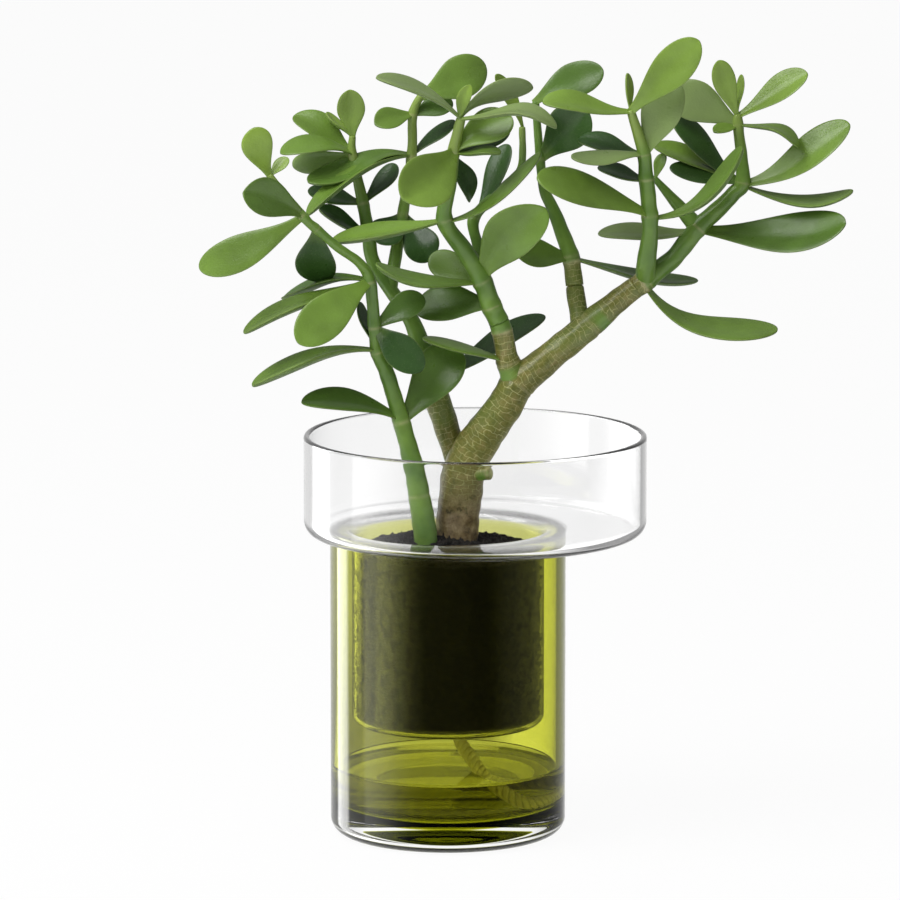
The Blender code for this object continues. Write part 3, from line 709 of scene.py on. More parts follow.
def lumpMesh(name, centres, sizes, flatten, rings, sides, draw):
    # crumbs: spheres of few faces, pushed in and out at random, squeezed along one way and turned
    count = len(centres)
    rise = np.pi * (np.arange(rings) + 1) / (rings + 1)
    angle = np.arange(sides) * 2 * np.pi / sides
    ring = np.stack([
        np.sin(rise)[:, None] * np.cos(angle),
        np.sin(rise)[:, None] * np.sin(angle),
        np.broadcast_to(-np.cos(rise)[:, None], (rings, sides)),
    ], axis=-1)
    uneven = draw.uniform(0.65, 1.25, (count, rings, sides, 1))
    out = unit(draw.normal(size=(count, 3)) if flatten is None else flatten)
    side = unit(np.cross(out, draw.normal(size=(count, 3))))
    turns = np.stack([side, np.cross(out, side), out * (0.7 if flatten is None else 0.4)], axis=1)
    lump = np.einsum("rsa,nab->nrsb", ring, turns) * uneven * sizes[:, None, None, None]
    tip = turns[:, 2] * sizes[:, None]
    tones = {"crumb": draw.uniform(0, 1, (count, 1, 1))}
    return tubeMesh(name, centres - tip, lump + centres[:, None, None], centres + tip, tones)


def soilLook():
    # peat: near black, with brown fibre, a few pale grains and a rough face
    look, shader = newLook("pottingSoil", (0.02, 0.014, 0.009), 0.92)
    base = ramp(look, noise(look, 420.0, 6.0, 0.7), (0.35, (0.004, 0.003, 0.002)),
                (0.62, (0.011, 0.007, 0.0045)), (0.80, (0.030, 0.018, 0.010)))
    grains = ramp(look, cells(look, 520.0), (0.0, 1.0), (0.10, 0.0))
    few = ramp(look, noise(look, 160.0, 1.0), (0.60, 0.0), (0.68, 1.0))
    share = times(look, times(look, grains, few), 0.55)
    wire(look, blendColour(look, share, base, (0.22, 0.13, 0.06)), shader.inputs["Base Color"])
    bump(look, shader, noise(look, 900.0, 5.0, 0.65), 0.8, 0.0008)
    return look


def makeSoil():
    # the plug, crumbs spread evenly over its top, and specks spread evenly over the wall
    peat = soilLook()
    addPiece("soil_plug", soilMesh(soil), peat, "plant", "soil", "potting_soil")
    draw = np.random.default_rng(8)
    r = soilR * 0.97 * np.sqrt(draw.uniform(0, 1, soil["crumbs"]))
    a = draw.uniform(0, 2 * np.pi, soil["crumbs"])
    sizes = draw.uniform(*soil["crumbSize"], soil["crumbs"]) * mm * draw.uniform(0.4, 1.0, soil["crumbs"])
    r = np.minimum(r, soilR - sizes - 0.3 * mm)
    x, y = r * np.cos(a), r * np.sin(a)
    centres = np.column_stack([x, y, soilTop - moundDrop(r) + heapRise(x, y) + 0.2 * sizes - 0.3 * mm])
    addPiece("soil_crumbs", lumpMesh("soil_crumbs", centres, sizes, None, 4, 7, draw), peat, "plant", "soil")
    count = soil["specks"]
    a = draw.uniform(0, 2 * np.pi, count)
    z = draw.uniform(soilLow.z + 5.0 * mm, soilTop - 3.0 * mm, count)
    sizes = draw.uniform(*soil["speckSize"], count) * mm
    out = np.column_stack([np.cos(a), np.sin(a), np.zeros(count)])
    specks = out * (soilR - 0.12 * mm)
    specks[:, 2] = z
    addPiece("soil_specks", lumpMesh("soil_specks", specks, sizes, out, 2, 6, draw), peat, "plant", "soil")


makeSoil()
print("soil made")


# The plant. Its joints, by letter and number: x, y, height above the soil's top and the stem's radius, in mm
jointRows = {
    "a": [(-8.8, -11, -16, 4.8), (-9.5, -11, 2, 5.2), (-12.6, -11, 22.5, 4.8), (-15.4, -11, 36.5, 4.3),
          (-20.4, -11, 55, 3.7), (-26.5, -12, 76, 3.4), (-30.5, -12.5, 86, 3.2), (-32, -13, 97, 2.8),
          (-34, -15, 117.5, 2.6), (-38.5, -17, 126, 2.1), (-47.5, -20, 133, 2), (-57, -22, 141.5, 2),
          (-63, -24, 147.5, 2), (-77, -20, 164.5, 1.3)],
    "t": [(3.3, 0, -18, 8.6), (3.8, 0, 0, 9.2), (5.4, 0, 18, 9.5), (8.6, 0, 36, 9.2),
          (25, -1, 60.5, 7.8), (31, -1, 70.5, 7.6), (45.5, 0, 82.5, 6.4), (62.5, 1, 96.5, 6.2),
          (73, 1, 105.5, 5.3), (80.5, 1, 111.5, 4.8)],
    "s": [(10.5, -4, 30.5, 3.3), (18, -7, 31.6, 2.9)],
    "b": [(5.5, 3, 29, 4.6), (2.3, 7.5, 40, 5.4), (-4.4, 9, 61.5, 5.6), (-7, 10, 71, 5),
          (-15.5, 12, 95, 3.7), (-25.5, 15, 110, 3.2), (-33, 18, 122, 3), (-35, 19, 134, 3),
          (-37.5, 20, 147.5, 2.6), (-42, 21, 168.5, 2), (-42, 21, 176.5, 1.5), (-20, 24, 142, 2.4),
          (-16, 25, 167.5, 2.2), (-15.5, 25, 186, 2), (-12, 25, 194, 1.7)],
    "m": [(26.5, -2, 80, 5), (23.5, -3.5, 95, 4.6), (19, -4.5, 105, 4.3), (15, -5.5, 116.5, 4.3),
          (7, -7.5, 130.3, 3.9), (-1.5, -10, 144, 3.5), (1, -12, 160, 2.8), (2.5, -13.5, 174.5, 2.6),
          (4, -14.5, 181.5, 2.4), (5.5, -16, 188.5, 2.1)],
    "n": [(13.5, 1, 129.5, 2.6), (11.5, 6, 142.5, 2.4), (24, 9, 155.5, 2), (32, 10, 164.5, 1.7),
          (32.5, 9, 182, 1.4)],
    "x": [(58.8, 1, 93.5, 4.6)],
    "p": [(56.2, 6.5, 108, 4), (53.8, 10, 125, 3.7), (47, 15, 143.5, 2.9), (42.5, 17, 153.5, 2.4),
          (40.5, 18, 167, 2), (38.5, 19, 192, 1.6)],
    "r": [(87, 1.5, 116, 4.5), (93.5, 3, 121, 4.3), (100, 4, 126.5, 4.1), (109.5, 5, 138.5, 4),
          (117.5, 6, 145.5, 3.7), (125, 7, 153, 3.4), (129, 7, 158, 3.2), (128.5, 8.5, 170, 2.6),
          (127, 10, 183, 2.2), (127, 10.5, 187, 1.9)],
    "q": [(86.5, -3.5, 123, 4.3), (88, -6, 134.5, 3.7), (88, -7, 145.5, 3.5), (86.5, -8, 161.5, 3.2),
          (85.3, -9, 172.5, 2.8), (82.5, -10, 182, 2.3), (79.5, -11, 191.5, 1.9)],
    "u": [(91, 13, 159, 1.4)],
}
joints = {letter + str(i): row for letter, rows in jointRows.items() for i, row in enumerate(rows)}
# Each stem: its joints, the joint after which a green shoot takes over, the nodes below and above, and how
# many joints along the bark ends
stems = [
    ("t0-t9 r0-r9", "t9", "trunk", "right_shoot", 9.72),
    ("s0-s1", None, "trunk", None, 1.5),
    ("b0-b10", "b2", "trunk", "back_left_shoot", 2.9),
    ("t5 m0-m9", "m1", "trunk", "centre_shoot", 1.95),
    ("x0 p0-p5", "p0", "trunk", "back_shoot", 1.85),
    ("a0-a13", None, "left_shoot", None, -1.0),
    ("b5 b11-b14", None, "back_left_shoot", None, -1.0),
    ("m3 n0-n4", None, "centre_shoot", None, -1.0),
    ("r0 q0-q6", None, "right_shoot", None, -1.0),
    ("r3 u0", None, "right_shoot", None, -1.0),
]
stemLooks = {
    "youngJoints": "b9 b10 b12 b13 b14 m7 m8 m9 q5 q6 r8 r9 a13 n4",  # fresh tips
    "greenPatches": {"t0": (7.08, 7.55), "t5": (0.42, 0.95), "s0": (0.35, 0.95)},  # in joints along
    "steps": 14,
    "sides": 28,
    "collar": 0.12,  # how far a joint swells where leaves grow
    "collarWidth": 2.4,
    "scarWidth": 0.45,
    "ringJoints": "t5 t7 a2",  # joints that only keep the ring of a lost pair of leaves
    "lumps": 0.022,
    "groove": {"stem": "t0", "turn": -0.2, "width": 0.42, "at": 31.0, "length": 12.0, "depth": 0.20},
    "brownTo": (12.0, 36.0),  # heights above the soil where the foot's brown ends
    "net": (4.0, 2.5, 0.17),  # cracks in the bark: width and height of a patch, and the line
    "fineNet": (1.7, 1.25, 0.06),
}
# Each leaf: joint, tip (x, y, height), width, turn from facing the front (0) to lying level (90), how far
# its middle stands off the straight line, and its tone, whose darker steps are painted shade for leaves in
# the plant's shadow
leaves = {
    "trunk": [
        ("m0", (-11, -12, 92), 14, 80, 1, "mid"),
    ],
    "left_shoot": [
        ("a12", (-108, -20, 123.5), 17, 20, 1, "mid"), ("a12", (-88, -42, 160), 18, 25, 2, "deep"),
        ("a11", (-57.5, -4, 116), 19, 8, 1, "dark"), ("a13", (-84, -24, 186), 14.5, 5, 1, "light"),
        ("a13", (-69.5, -16, 172), 7, 40, 0, "light"), ("a4", (-64, -18, 65), 17, 62, 5, "deep"),
        ("a4", (4, 0, 87), 22, 15, 1, "deep"), ("a6", (-85.5, -20, 72.5), 19, 82, 6, "mid"),
        ("a6", (-38.5, -4, 107), 10, 65, 0, "dark"), ("a7", (-11, -22, 79.5), 16, 10, 1, "dark"),
        ("a7", (-10.5, -8, 110), 13, 20, 1, "deep"), ("a8", (-65, -38, 94), 20, 15, 3, "mid"),
        ("a8", (-89, -22, 96), 18, 78, 2, "mid"), ("a8", (-72.5, 8, 107), 16, 82, 5, "deep"),
    ],
    "back_left_shoot": [
        ("b9", (-68, 30, 185), 15, 42, 1, "mid"), ("b9", (-73.5, 10, 171), 15, 65, 5, "mid"),
        ("b9", (-68.5, 24, 163.5), 15, 140, 1, "mid"), ("b10", (-43, 16, 198), 13, 5, 0, "light"),
        ("b10", (-53.5, 26, 187), 8, 75, 0, "light"), ("b12", (-61.5, 8, 158.5), 18, 66, 2, "deep"),
        ("b12", (-61.5, -2, 145), 15, 78, 6, "mid"), ("b8", (-61.5, 30, 152.5), 14, 60, 0, "dark"),
        ("b7", (-56.5, 12, 146), 13, 65, 0, "dark"), ("b8", (-23.5, 32, 163.5), 12, 50, 0, "dark"),
        ("b13", (-32, 14, 183), 12, 38, 1, "mid"), ("b14", (16.5, 28, 208), 20, 10, 2, "mid"),
        ("b13", (2, 30, 191.5), 12, 35, 0, "deep"), ("b12", (3, 34, 182.5), 11, 60, 0, "dark"),
        ("b3", (43, 22, 97), 17, 62, 1, "dark"), ("b11", (-31, 12, 131), 16, 20, 0, "dark"),
        ("b11", (-9, 14, 122), 17, 15, 0, "dark"),
    ],
    "centre_shoot": [
        ("m2", (-14.5, 0, 103.5), 19, 35, 1, "deep"), ("m3", (42.5, -22, 150.5), 23, 8, 3, "mid"),
        ("m3", (-8, 4, 126), 15, 30, 0, "mid"), ("m3", (-31, -30, 127), 16, 75, -5, "mid"),
        ("m5", (-51, -6, 134), 17, 74, 0, "mid"), ("m5", (40.5, -14, 174), 14, 72, -4, "mid"),
        ("m7", (-19.5, -40, 157), 25, 5, 3, "fresh"), ("m7", (10, 4, 151), 13, 55, 0, "dark"),
        ("m7", (28, -12, 189), 18, 32, 1, "mid"), ("m7", (26.5, 2, 183.5), 13, 45, 0, "dark"),
        ("m7", (23, -20, 174.5), 11, 78, 0, "mid"), ("m9", (-31, -24, 208), 15, 75, 4, "pale"),
        ("m9", (9.5, -18, 204), 6.5, 5, 0, "light"), ("m9", (37, -4, 201.5), 15, 135, 4, "pale"),
        ("m9", (47, -28, 186.5), 15, 76, 6, "pale"), ("n1", (26.5, 16, 174), 13, 45, 0, "dark"),
        ("n4", (21, 6, 206), 8, 35, 0, "light"),
    ],
    "back_shoot": [
        ("p1", (29, 4, 129), 17, 45, 1, "mid"), ("p1", (110.5, 24, 112.5), 16, 80, -2, "deep"),
        ("p4", (61, 6, 190), 21, 10, 1, "dark"), ("p5", (68, 16, 207), 17, 25, 1, "deep"),
    ],
    "right_shoot": [
        ("q2", (38.5, -30, 165), 21, 52, 3, "mid"), ("q2", (128, -14, 176), 16, 70, -9, "mid"),
        ("q4", (53.5, -24, 173), 13, 66, 0, "pale"), ("q4", (57, 2, 178), 14, 60, 0, "dark"),
        ("q3", (65.5, 0, 166), 12, 65, 0, "dark"), ("q6", (41, -18, 196.5), 16, 60, 1, "fresh"),
        ("q6", (108.5, -20, 223.5), 18, 14, 2, "fresh"), ("q6", (78, -8, 208), 7, 60, 0, "light"),
        ("q4", (99, -6, 205), 19, 15, 1, "pale"), ("r0", (144, -10, 95), 22, 66, -9, "mid"),
        ("r3", (173.5, -10, 142.5), 23, 45, -6, "deep"), ("r3", (66, 16, 134.5), 15, 68, 0, "pale"),
        ("r6", (175.5, 2, 184.5), 19, 45, -1, "mid"), ("r6", (177, -2, 155.5), 15, 74, -6.5, "mid"),
        ("r6", (98.5, 16, 187), 15, 48, 0, "dark"), ("r6", (90, 14, 174), 14, 60, 0, "mid"),
        ("r6", (97, 6, 165), 13, 52, 0, "dark"), ("u0", (95, 16, 170), 6, 30, 0, "mid"),
        ("r9", (118, 6, 212), 11, 10, 0, "light"), ("r9", (128.5, 14, 205), 7, 60, 0, "light"),
        ("r9", (157, 6, 206.5), 15, 45, 0, "fresh"), ("r8", (95.5, 14, 197.5), 19, 12, 1, "pale"),
        ("r8", (153, -2, 175), 12, 76, 4, "mid"), ("r8", (116, 4, 181), 8, 60, 0, "mid"),
    ],
}
leafLooks = {
    # tones from dark to light: the darkest steps are painted shade for leaves in the plant's shadow
    "tones": {"dark": 0.0, "deep": 0.25, "mid": 0.5, "fresh": 0.75, "light": 1.0, "pale": 0.6},
    "paleShare": {"pale": 0.8},
    "fullness": 0.96,  # widest place as a share of the width in the table
    "stalk": 0.21,  # width at the foot, as a share of the widest place
    "widest": 0.67,  # where along the leaf that place is
    "rootShare": 0.7,
    "thickLeast": 0.9,
    "thickShare": 0.12,
    "cup": 0.05,
    "fold": 0.10,
    "wave": 0.02,
    "sickle": 0.04,
    "rings": 30,
    "sides": 24,
}


def jointNames(words):
    # "t0-t2 r0" stands for t0, t1, t2 and r0
    names = []
    for first, _, last in (word.partition("-") for word in words.split()):
        names += [first[0] + str(i) for i in range(int(first[1:]), int((last or first)[1:]) + 1)]
    return names


def plantPoints(places):
    # table places, with heights counted from the soil's top
    points = np.array(places, float)
    points[..., 2] += soilTop / mm
    return points


def stemTube(names, firstU, lastU, barkEnd):
    # a round section carried along a smooth line through the joints, swollen where leaves grow, with small
    # lumps and marks for the skin
    size = stemLooks
    line = smoothLine(plantPoints([joints[n] for n in names]), size["steps"])
    u = np.arange(len(line)) / size["steps"]
    run = np.concatenate([[0.0], np.cumsum(np.linalg.norm(np.diff(line[:, :3], axis=0), axis=1))])
    leafy = {row[0] for rows in leaves.values() for row in rows}
    leafAt = np.array([float(n in leafy) for n in names])
    leafAt[[0, -1]] = 0.0
    ringAt = np.maximum(leafAt, [float(n in size["ringJoints"].split()) for n in names])
    jointRun = run[:: size["steps"]]
    near = np.abs(run[:, None] - jointRun)
    collar = (np.exp(-(near / size["collarWidth"]) ** 2) * leafAt).max(axis=1)
    scar = (np.exp(-(near / size["scarWidth"]) ** 2) * ringAt).max(axis=1)
    endRun = np.interp(barkEnd, np.arange(len(names)), jointRun) if barkEnd > 0 else -9.0
    bark = np.clip(0.5 + (endRun - run) / 1.6, 0, 1)
    cork = np.exp(-((run - endRun) / 0.9) ** 2)
    radius = line[:, 3] * (1 + size["collar"] * collar - 0.04 * scar + 0.05 * cork)
    low, high = size["greenPatches"].get(names[0], (-9.0, -9.0))
    patch = np.clip(np.minimum(u - low, high - u) * 9, 0, 1)
    keep = (u >= firstU - 1e-6) & (u <= lastU + 1e-6)
    line, radius, run = line[keep], radius[keep], run[keep]
    end = np.array([0.35, 0.62, 0.82, 0.95])  # the end closes as a dome
    way = unit(line[-1, :3] - line[-2, :3])
    centre = np.vstack([line[:, :3], line[-1, :3] + way * (radius[-1] * end)[:, None] * 0.5])
    run = np.concatenate([run, run[-1] + radius[-1] * end])
    radius = np.concatenate([radius, radius[-1] * np.sqrt(1 - end ** 2)])
    young = np.interp(u, np.arange(len(names)), [float(n in size["youngJoints"].split()) for n in names])
    marks = {"bark": bark, "scar": np.maximum(scar * 0.5, cork), "patch": patch, "young": young}
    marks = {key: np.pad(value[keep], (0, len(end)), "edge") for key, value in marks.items()}
    along = unit(np.gradient(centre, axis=0))
    front = np.array((0.0, -1.0, 0.0))
    first = unit(front - along * (along @ front)[:, None])
    second = np.cross(along, first)
    angle = np.linspace(0, 2 * np.pi, size["sides"], endpoint=False)
    ring = np.cos(angle)[:, None] * first[:, None] + np.sin(angle)[:, None] * second[:, None]
    groove = size["groove"]
    if names[0] == groove["stem"]:  # a fold up the front of the foot: a bell across and along
        fold = np.exp(-((run - groove["at"]) / groove["length"]) ** 2)[:, None]
        turn = np.minimum(np.abs(angle - groove["turn"]), np.abs(angle - groove["turn"] - 2 * np.pi))
        radius = radius[:, None] * (1 - groove["depth"] * fold * np.exp(-(turn / groove["width"]) ** 2))
    else:
        radius = np.repeat(radius[:, None], len(angle), axis=1)
    grid = centre[:, None] + ring * radius[..., None]
    uneven = ripple(grid, 9.0, 16, np.random.default_rng(len(names))) * size["lumps"]
    grid = grid + ring * (radius * uneven)[..., None]
    values = {key: value[None, :, None] for key, value in marks.items()}
    values["patch"] = values["patch"] * np.clip(0.75 - 0.9 * ring[None, ..., 2], 0, 1)
    values["young"] = values["young"] * 0.75
    values["stemRun"] = (run * mm)[None, :, None]
    values["stemFront"] = (radius * np.cos(angle) * mm)[None]
    values["stemSide"] = (radius * np.sin(angle) * mm)[None]
    tip = centre[-1:] + way * radius[-1, 0] * 0.1
    return tubeMesh("stem", centre[:1] * mm, grid[None] * mm, tip * mm, values)


def leafOutline(t, stalk, widest):
    # spoon-shaped: an even S-curve from the stalk to the widest place, then a quarter ellipse to the tip
    rise = np.clip(t / widest, 0, 1) ** 1.08
    past = np.clip((t - widest) / (1 - widest), 0, 1)
    return (stalk + (1 - stalk) * rise ** 2 * (3 - 2 * rise)) * (1 - past ** 2.1) ** 0.52


def leafMesh(name, rows, seed):
    # a lens-shaped section carried along a parabola from joint to tip: obovate outline, thick in the middle,
    # round at the rim, cupped and bent a little sideways
    size = leafLooks
    draw = np.random.default_rng(seed)
    joint = np.array([joints[r[0]] for r in rows])
    start = plantPoints(joint[:, :3])
    tip = plantPoints([r[1] for r in rows])
    width = np.array([r[2] for r in rows]) * size["fullness"]
    turn = np.radians([r[3] for r in rows])
    bend = np.array([r[4] for r in rows])
    along = unit(tip - start)
    start = start - along * (joint[:, 3] * size["rootShare"])[:, None]
    front = np.array((0.0, -1.0, 0.0))
    facing = unit(front - along * (along @ front)[:, None])
    upward = np.cross(along, facing)
    upward = upward * np.where(upward[:, 2:] < -0.001, -1.0, 1.0)
    normal = facing * np.cos(turn)[:, None] + upward * np.sin(turn)[:, None]
    side = np.cross(along, normal)
    t = (1 - np.cos(np.pi * (np.arange(size["rings"]) + 0.35) / (size["rings"] - 0.3))) / 2
    widest = size["widest"] + draw.uniform(-0.06, 0.05, (len(rows), 1))
    outline = leafOutline(t, size["stalk"], widest)[..., None]
    angle = np.linspace(0, 2 * np.pi, size["sides"], endpoint=False)
    across = np.sign(np.cos(angle)) * np.abs(np.cos(angle)) ** 0.85
    through = np.sign(np.sin(angle)) * np.abs(np.sin(angle)) ** 1.25 * np.where(np.sin(angle) > 0, 0.8, 1.2)
    thick = (size["thickLeast"] + size["thickShare"] * width)[:, None, None]
    half = width[:, None, None] / 2 * outline * across
    rise = thick / 2 * np.sqrt(outline) * through
    cup = size["cup"] * draw.uniform(0.2, 1.6, (len(rows), 1, 1)) * width[:, None, None]
    fold = size["fold"] * draw.uniform(0.0, 1.6, (len(rows), 1, 1)) * width[:, None, None]
    rise = rise + (cup * (across ** 2 - 0.35) + fold * (np.abs(across) - 0.4)) * outline
    middle = start[:, None] + (tip - start)[:, None] * t[:, None]
    length = np.linalg.norm(tip - start, axis=1)[:, None]
    wave = size["wave"] * draw.normal(size=(len(rows), 1)) * length * np.sin(2 * np.pi * t)
    middle = middle + normal[:, None] * (4 * bend[:, None] * t * (1 - t) + wave)[..., None]
    sickle = size["sickle"] * draw.normal(size=(len(rows), 1)) * length
    middle = middle + side[:, None] * (sickle * 4 * t * (1 - t))[..., None]
    grid = middle[:, :, None] + side[:, None, None] * half[..., None]
    grid = grid + normal[:, None, None] * rise[..., None]
    tone = np.array([size["tones"][r[5]] for r in rows]) + draw.normal(size=len(rows)) * 0.05
    values = {
        "tone": tone[:, None, None],
        "pale": np.array([size["paleShare"].get(r[5], 0.0) for r in rows])[:, None, None],
        "along": t[:, None],
        "across": np.abs(across),
        "upper": np.sin(angle) / 2 + 0.5,
    }
    return tubeMesh(name, middle[:, 0] * mm, grid * mm, middle[:, -1] * mm, values)


def stemLook():
    # green skin that turns to olive bark with a net of pale cracks, wider round the stem than along it, and
    # brown and spotted near the soil
    look, shader = newLook("stemSkin", (0.12, 0.25, 0.04), 0.36, Specular_IOR_Level=0.42)
    green = ramp(look, noise(look, 90.0, 3.0), (0.3, (0.092, 0.190, 0.026)), (0.7, (0.165, 0.290, 0.044)))
    green = blendColour(look, attribute(look, "young"), green, (0.27, 0.37, 0.075))
    olive = ramp(look, noise(look, 260.0, 5.0, 0.7), (0.32, (0.105, 0.118, 0.019)),
                 (0.5, (0.175, 0.175, 0.031)), (0.7, (0.265, 0.215, 0.063)))
    mossy = ramp(look, noise(look, 45.0, 2.0), (0.45, 0.0), (0.62, 0.55))
    olive = blendColour(look, mossy, olive, (0.145, 0.215, 0.038))
    brownFrom, brownEnd = (soilTop + height * mm for height in stemLooks["brownTo"])
    low = between(look, axisOf(look, place(look), "Z"), brownFrom, brownEnd, 1.0, 0.0)
    # near the soil: brown with dark spots; the palest tan blotches are partly the bark's own colour and
    # partly painted highlight
    brown = ramp(look, noise(look, 330.0, 6.0, 0.75), (0.34, (0.020, 0.013, 0.007)),
                 (0.44, (0.12, 0.085, 0.036)), (0.60, (0.21, 0.155, 0.075)), (0.78, (0.38, 0.30, 0.18)))
    olive = blendColour(look, low, olive, brown)
    turn = sums(look, "ARCTAN2", attribute(look, "stemSide"), attribute(look, "stemFront"))
    wobble = times(look, noise(look, 170.0, 2.0), 5.0)
    sway = times(look, noise(look, 130.0, 3.0), 8.0)
    skinPlace = addNode(look, "ShaderNodeCombineXYZ")
    wire(look, plus(look, times(look, turn, 7.0), sway), skinPlace.inputs["X"])
    wire(look, plus(look, times(look, attribute(look, "stemRun"), 1000.0), wobble),
         skinPlace.inputs["Y"])
    wide = bricks(look, skinPlace.outputs[0], *stemLooks["net"])
    fine = bricks(look, skinPlace.outputs[0], *stemLooks["fineNet"])
    patchy = ramp(look, noise(look, 130.0, 2.0), (0.34, 0.25), (0.56, 1.0))
    net = sums(look, "MAXIMUM", times(look, wide, patchy), times(look, fine, 0.22))
    net = times(look, net, sums(look, "SUBTRACT", 1.0, low))
    olive = blendColour(look, times(look, net, 0.8), olive, (0.52, 0.52, 0.22))
    ragged = plus(look, attribute(look, "bark"), times(look, noise(look, 260.0), 0.5))
    bark = ramp(look, ragged, (0.66, 0.0), (0.84, 1.0))
    bark = times(look, bark, sums(look, "SUBTRACT", 1.0, attribute(look, "patch")))
    uneven = ramp(look, noise(look, 240.0, 2.0), (0.35, 0.2), (0.6, 0.85))
    scar = times(look, attribute(look, "scar"), uneven)
    skinColour = blendColour(look, scar, blendColour(look, bark, green, olive), (0.46, 0.44, 0.22))
    wire(look, skinColour, shader.inputs["Base Color"])
    wire(look, ramp(look, bark, (0.0, 0.32), (1.0, 0.30)), shader.inputs["Roughness"])
    bump(look, shader, plus(look, times(look, times(look, net, bark), -0.5),
                            times(look, noise(look, 420.0), 0.5)), 0.3, 0.0005)
    return look


def leafLook():
    # waxy leaf: a green from each leaf's tone, whose darker end is painted shade for leaves in the plant's
    # shadow; paler below and at the rim, with fine pale dots
    look, shader = newLook("jadeLeaf", (0.1, 0.2, 0.04), 0.34, Specular_IOR_Level=0.38)
    # painted shade: the dark end of this ramp stands for leaves in the plant's shadow
    green = ramp(look, attribute(look, "tone"), (0.0, (0.027, 0.076, 0.012)), (0.25, (0.090, 0.176, 0.027)),
                 (0.5, (0.145, 0.250, 0.036)), (1.0, (0.235, 0.365, 0.052)))
    patch = ramp(look, noise(look, 55.0, 3.0), (0.3, 0.78), (0.7, 1.18))
    green = blendColour(look, 1.0, green, patch, "MULTIPLY")
    below = ramp(look, attribute(look, "upper"), (0.30, 1.0), (0.52, 0.0))
    green = blendColour(look, times(look, below, 0.45), green, (0.20, 0.29, 0.11))
    green = blendColour(look, times(look, attribute(look, "pale"), 0.5), green, (0.31, 0.37, 0.20))
    rim = ramp(look, attribute(look, "across"), (0.93, 0.0), (1.0, 1.0))
    green = blendColour(look, times(look, rim, 0.35), green, (0.26, 0.33, 0.10))
    foot = ramp(look, attribute(look, "along"), (0.0, 1.0), (0.32, 0.0))
    green = blendColour(look, times(look, foot, 0.55), green, (0.22, 0.34, 0.06))
    dots = ramp(look, cells(look, 1300.0), (0.10, 1.0), (0.22, 0.0))
    green = blendColour(look, times(look, dots, 0.22), green, (0.35, 0.42, 0.20))
    wire(look, green, shader.inputs["Base Color"])
    wire(look, ramp(look, noise(look, 140.0, 3.0), (0.3, 0.27), (0.7, 0.40)), shader.inputs["Roughness"])
    bump(look, shader, noise(look, 800.0, 3.0), 0.22, 0.0005)
    return look


def makePlant():
    # each node has one mesh for its stems and one for its leaves
    tubes = {node: [] for node in leaves}
    for words, cut, lower, upper, barkEnd in stems:
        names = jointNames(words)
        last = len(names) - 1
        if cut is None:
            tubes[lower].append(stemTube(names, 0, last, barkEnd))
            continue
        at = names.index(cut) + 0.25
        tubes[lower].append(stemTube(names, 0, at, barkEnd))
        tubes[upper].append(stemTube(names, at, last, barkEnd))
    skinLook, waxLook = stemLook(), leafLook()
    for seed, node in enumerate(leaves):
        stem = mergeMeshes(node + "_stem", *tubes[node])
        addPiece(node + "_stem", stem, skinLook, "plant", "bark" if node == "trunk" else "jade_leaf", node)
        leafy = leafMesh(node + "_leaves", leaves[node], seed)
        addPiece(node + "_leaves", leafy, waxLook, "plant", "jade_leaf")


makePlant()
print("plant made,", sum(len(rows) for rows in leaves.values()), "leaves")


# The studio: white all round behind, dim in front, soft boxes above and to the left. What is seen of it
# through and in glass is given by direction: rows of (left to right, level) behind and in front. "mirrored"
# is for the glass's own shine, with the bright strip behind on the left; "passed" for rays that leave the
# glass upwards; "plain" and "edge" for rays that leave it towards the floor, straight or turned inside the
# wall; "gloss" (low to high) for the shine of leaves and bark.
studio = {
    "diffuseLevel": 0.30,
    "insideLevel": 1.5,  # what lights the things behind glass
    "mirrored": {
        "behind": [(0, 1), (0.05, 1), (0.07, 5.8), (0.16, 5.8), (0.19, 0.9), (0.40, 0.9), (0.60, 0.9),
                   (0.75, 0.6), (0.90, 0.30), (1, 0.18)],
        "ahead": [(0, 2), (0.07, 1.1), (0.13, 0.45), (0.20, 0.14), (0.30, 0.03), (0.85, 0.015), (1, 0.15)],
    },
    "passed": {
        "behind": [(0, 0.5), (0.12, 0.65), (0.25, 1), (0.75, 1), (0.88, 0.65), (1, 0.5)],
        "ahead": [(0, 0.5), (0.15, 0.7), (0.85, 0.7), (1, 0.5)],
    },
    "plain": {
        "behind": [(0, 0.45), (0.25, 0.62), (0.42, 1), (0.56, 1), (0.60, 1.5),
                   (0.74, 1.8), (1, 1.5)],
        "ahead": [(0, 0.6), (0.15, 0.96), (0.85, 0.96), (1, 0.6)],
    },
    "edge": {
        "behind": [(0, 1), (0.04, 1.6), (0.07, 3.2), (0.16, 3.2), (0.20, 0.66), (0.41, 0.60), (0.46, 1),
                   (0.53, 1), (0.575, 0.46), (0.72, 0.40), (1, 0.3)],
        "ahead": [(0, 2), (0.07, 1.1), (0.13, 0.55), (0.20, 0.20), (0.30, 0.04), (0.85, 0.015), (1, 0.18)],
    },
    "gloss": {
        "behind": [(0, 0.30), (1, 0.30)],
        "ahead": [(0, 1), (0.25, 1.7), (0.42, 1.7), (0.50, 0.6), (0.54, 0.30), (1, 0.4)],
    },
    "peak": 8,  # what a ramp's full white stands for
    "under": (0.09, 0.15),  # so far from the middle the floor is plain white through glass
    "potShade": {"x": (0.018, 0.042), "y": (0.25, 0.50), "depth": 0.5},  # near behind, left of the pot's edge
    "softBoxes": {
        "overhead": {"from": (-0.75, -0.55, 1.55), "size": (1.1, 1.1), "level": 6.4},
        "left": {"from": (-1.50, -0.55, 0.45), "size": (1, 1.3), "level": 1.5},
    },
    "aim": (0.02, 0, 0.2),
    "floorSize": 9,
    "floorShade": 0.05,  # share of the floor's look that takes the shadow
}


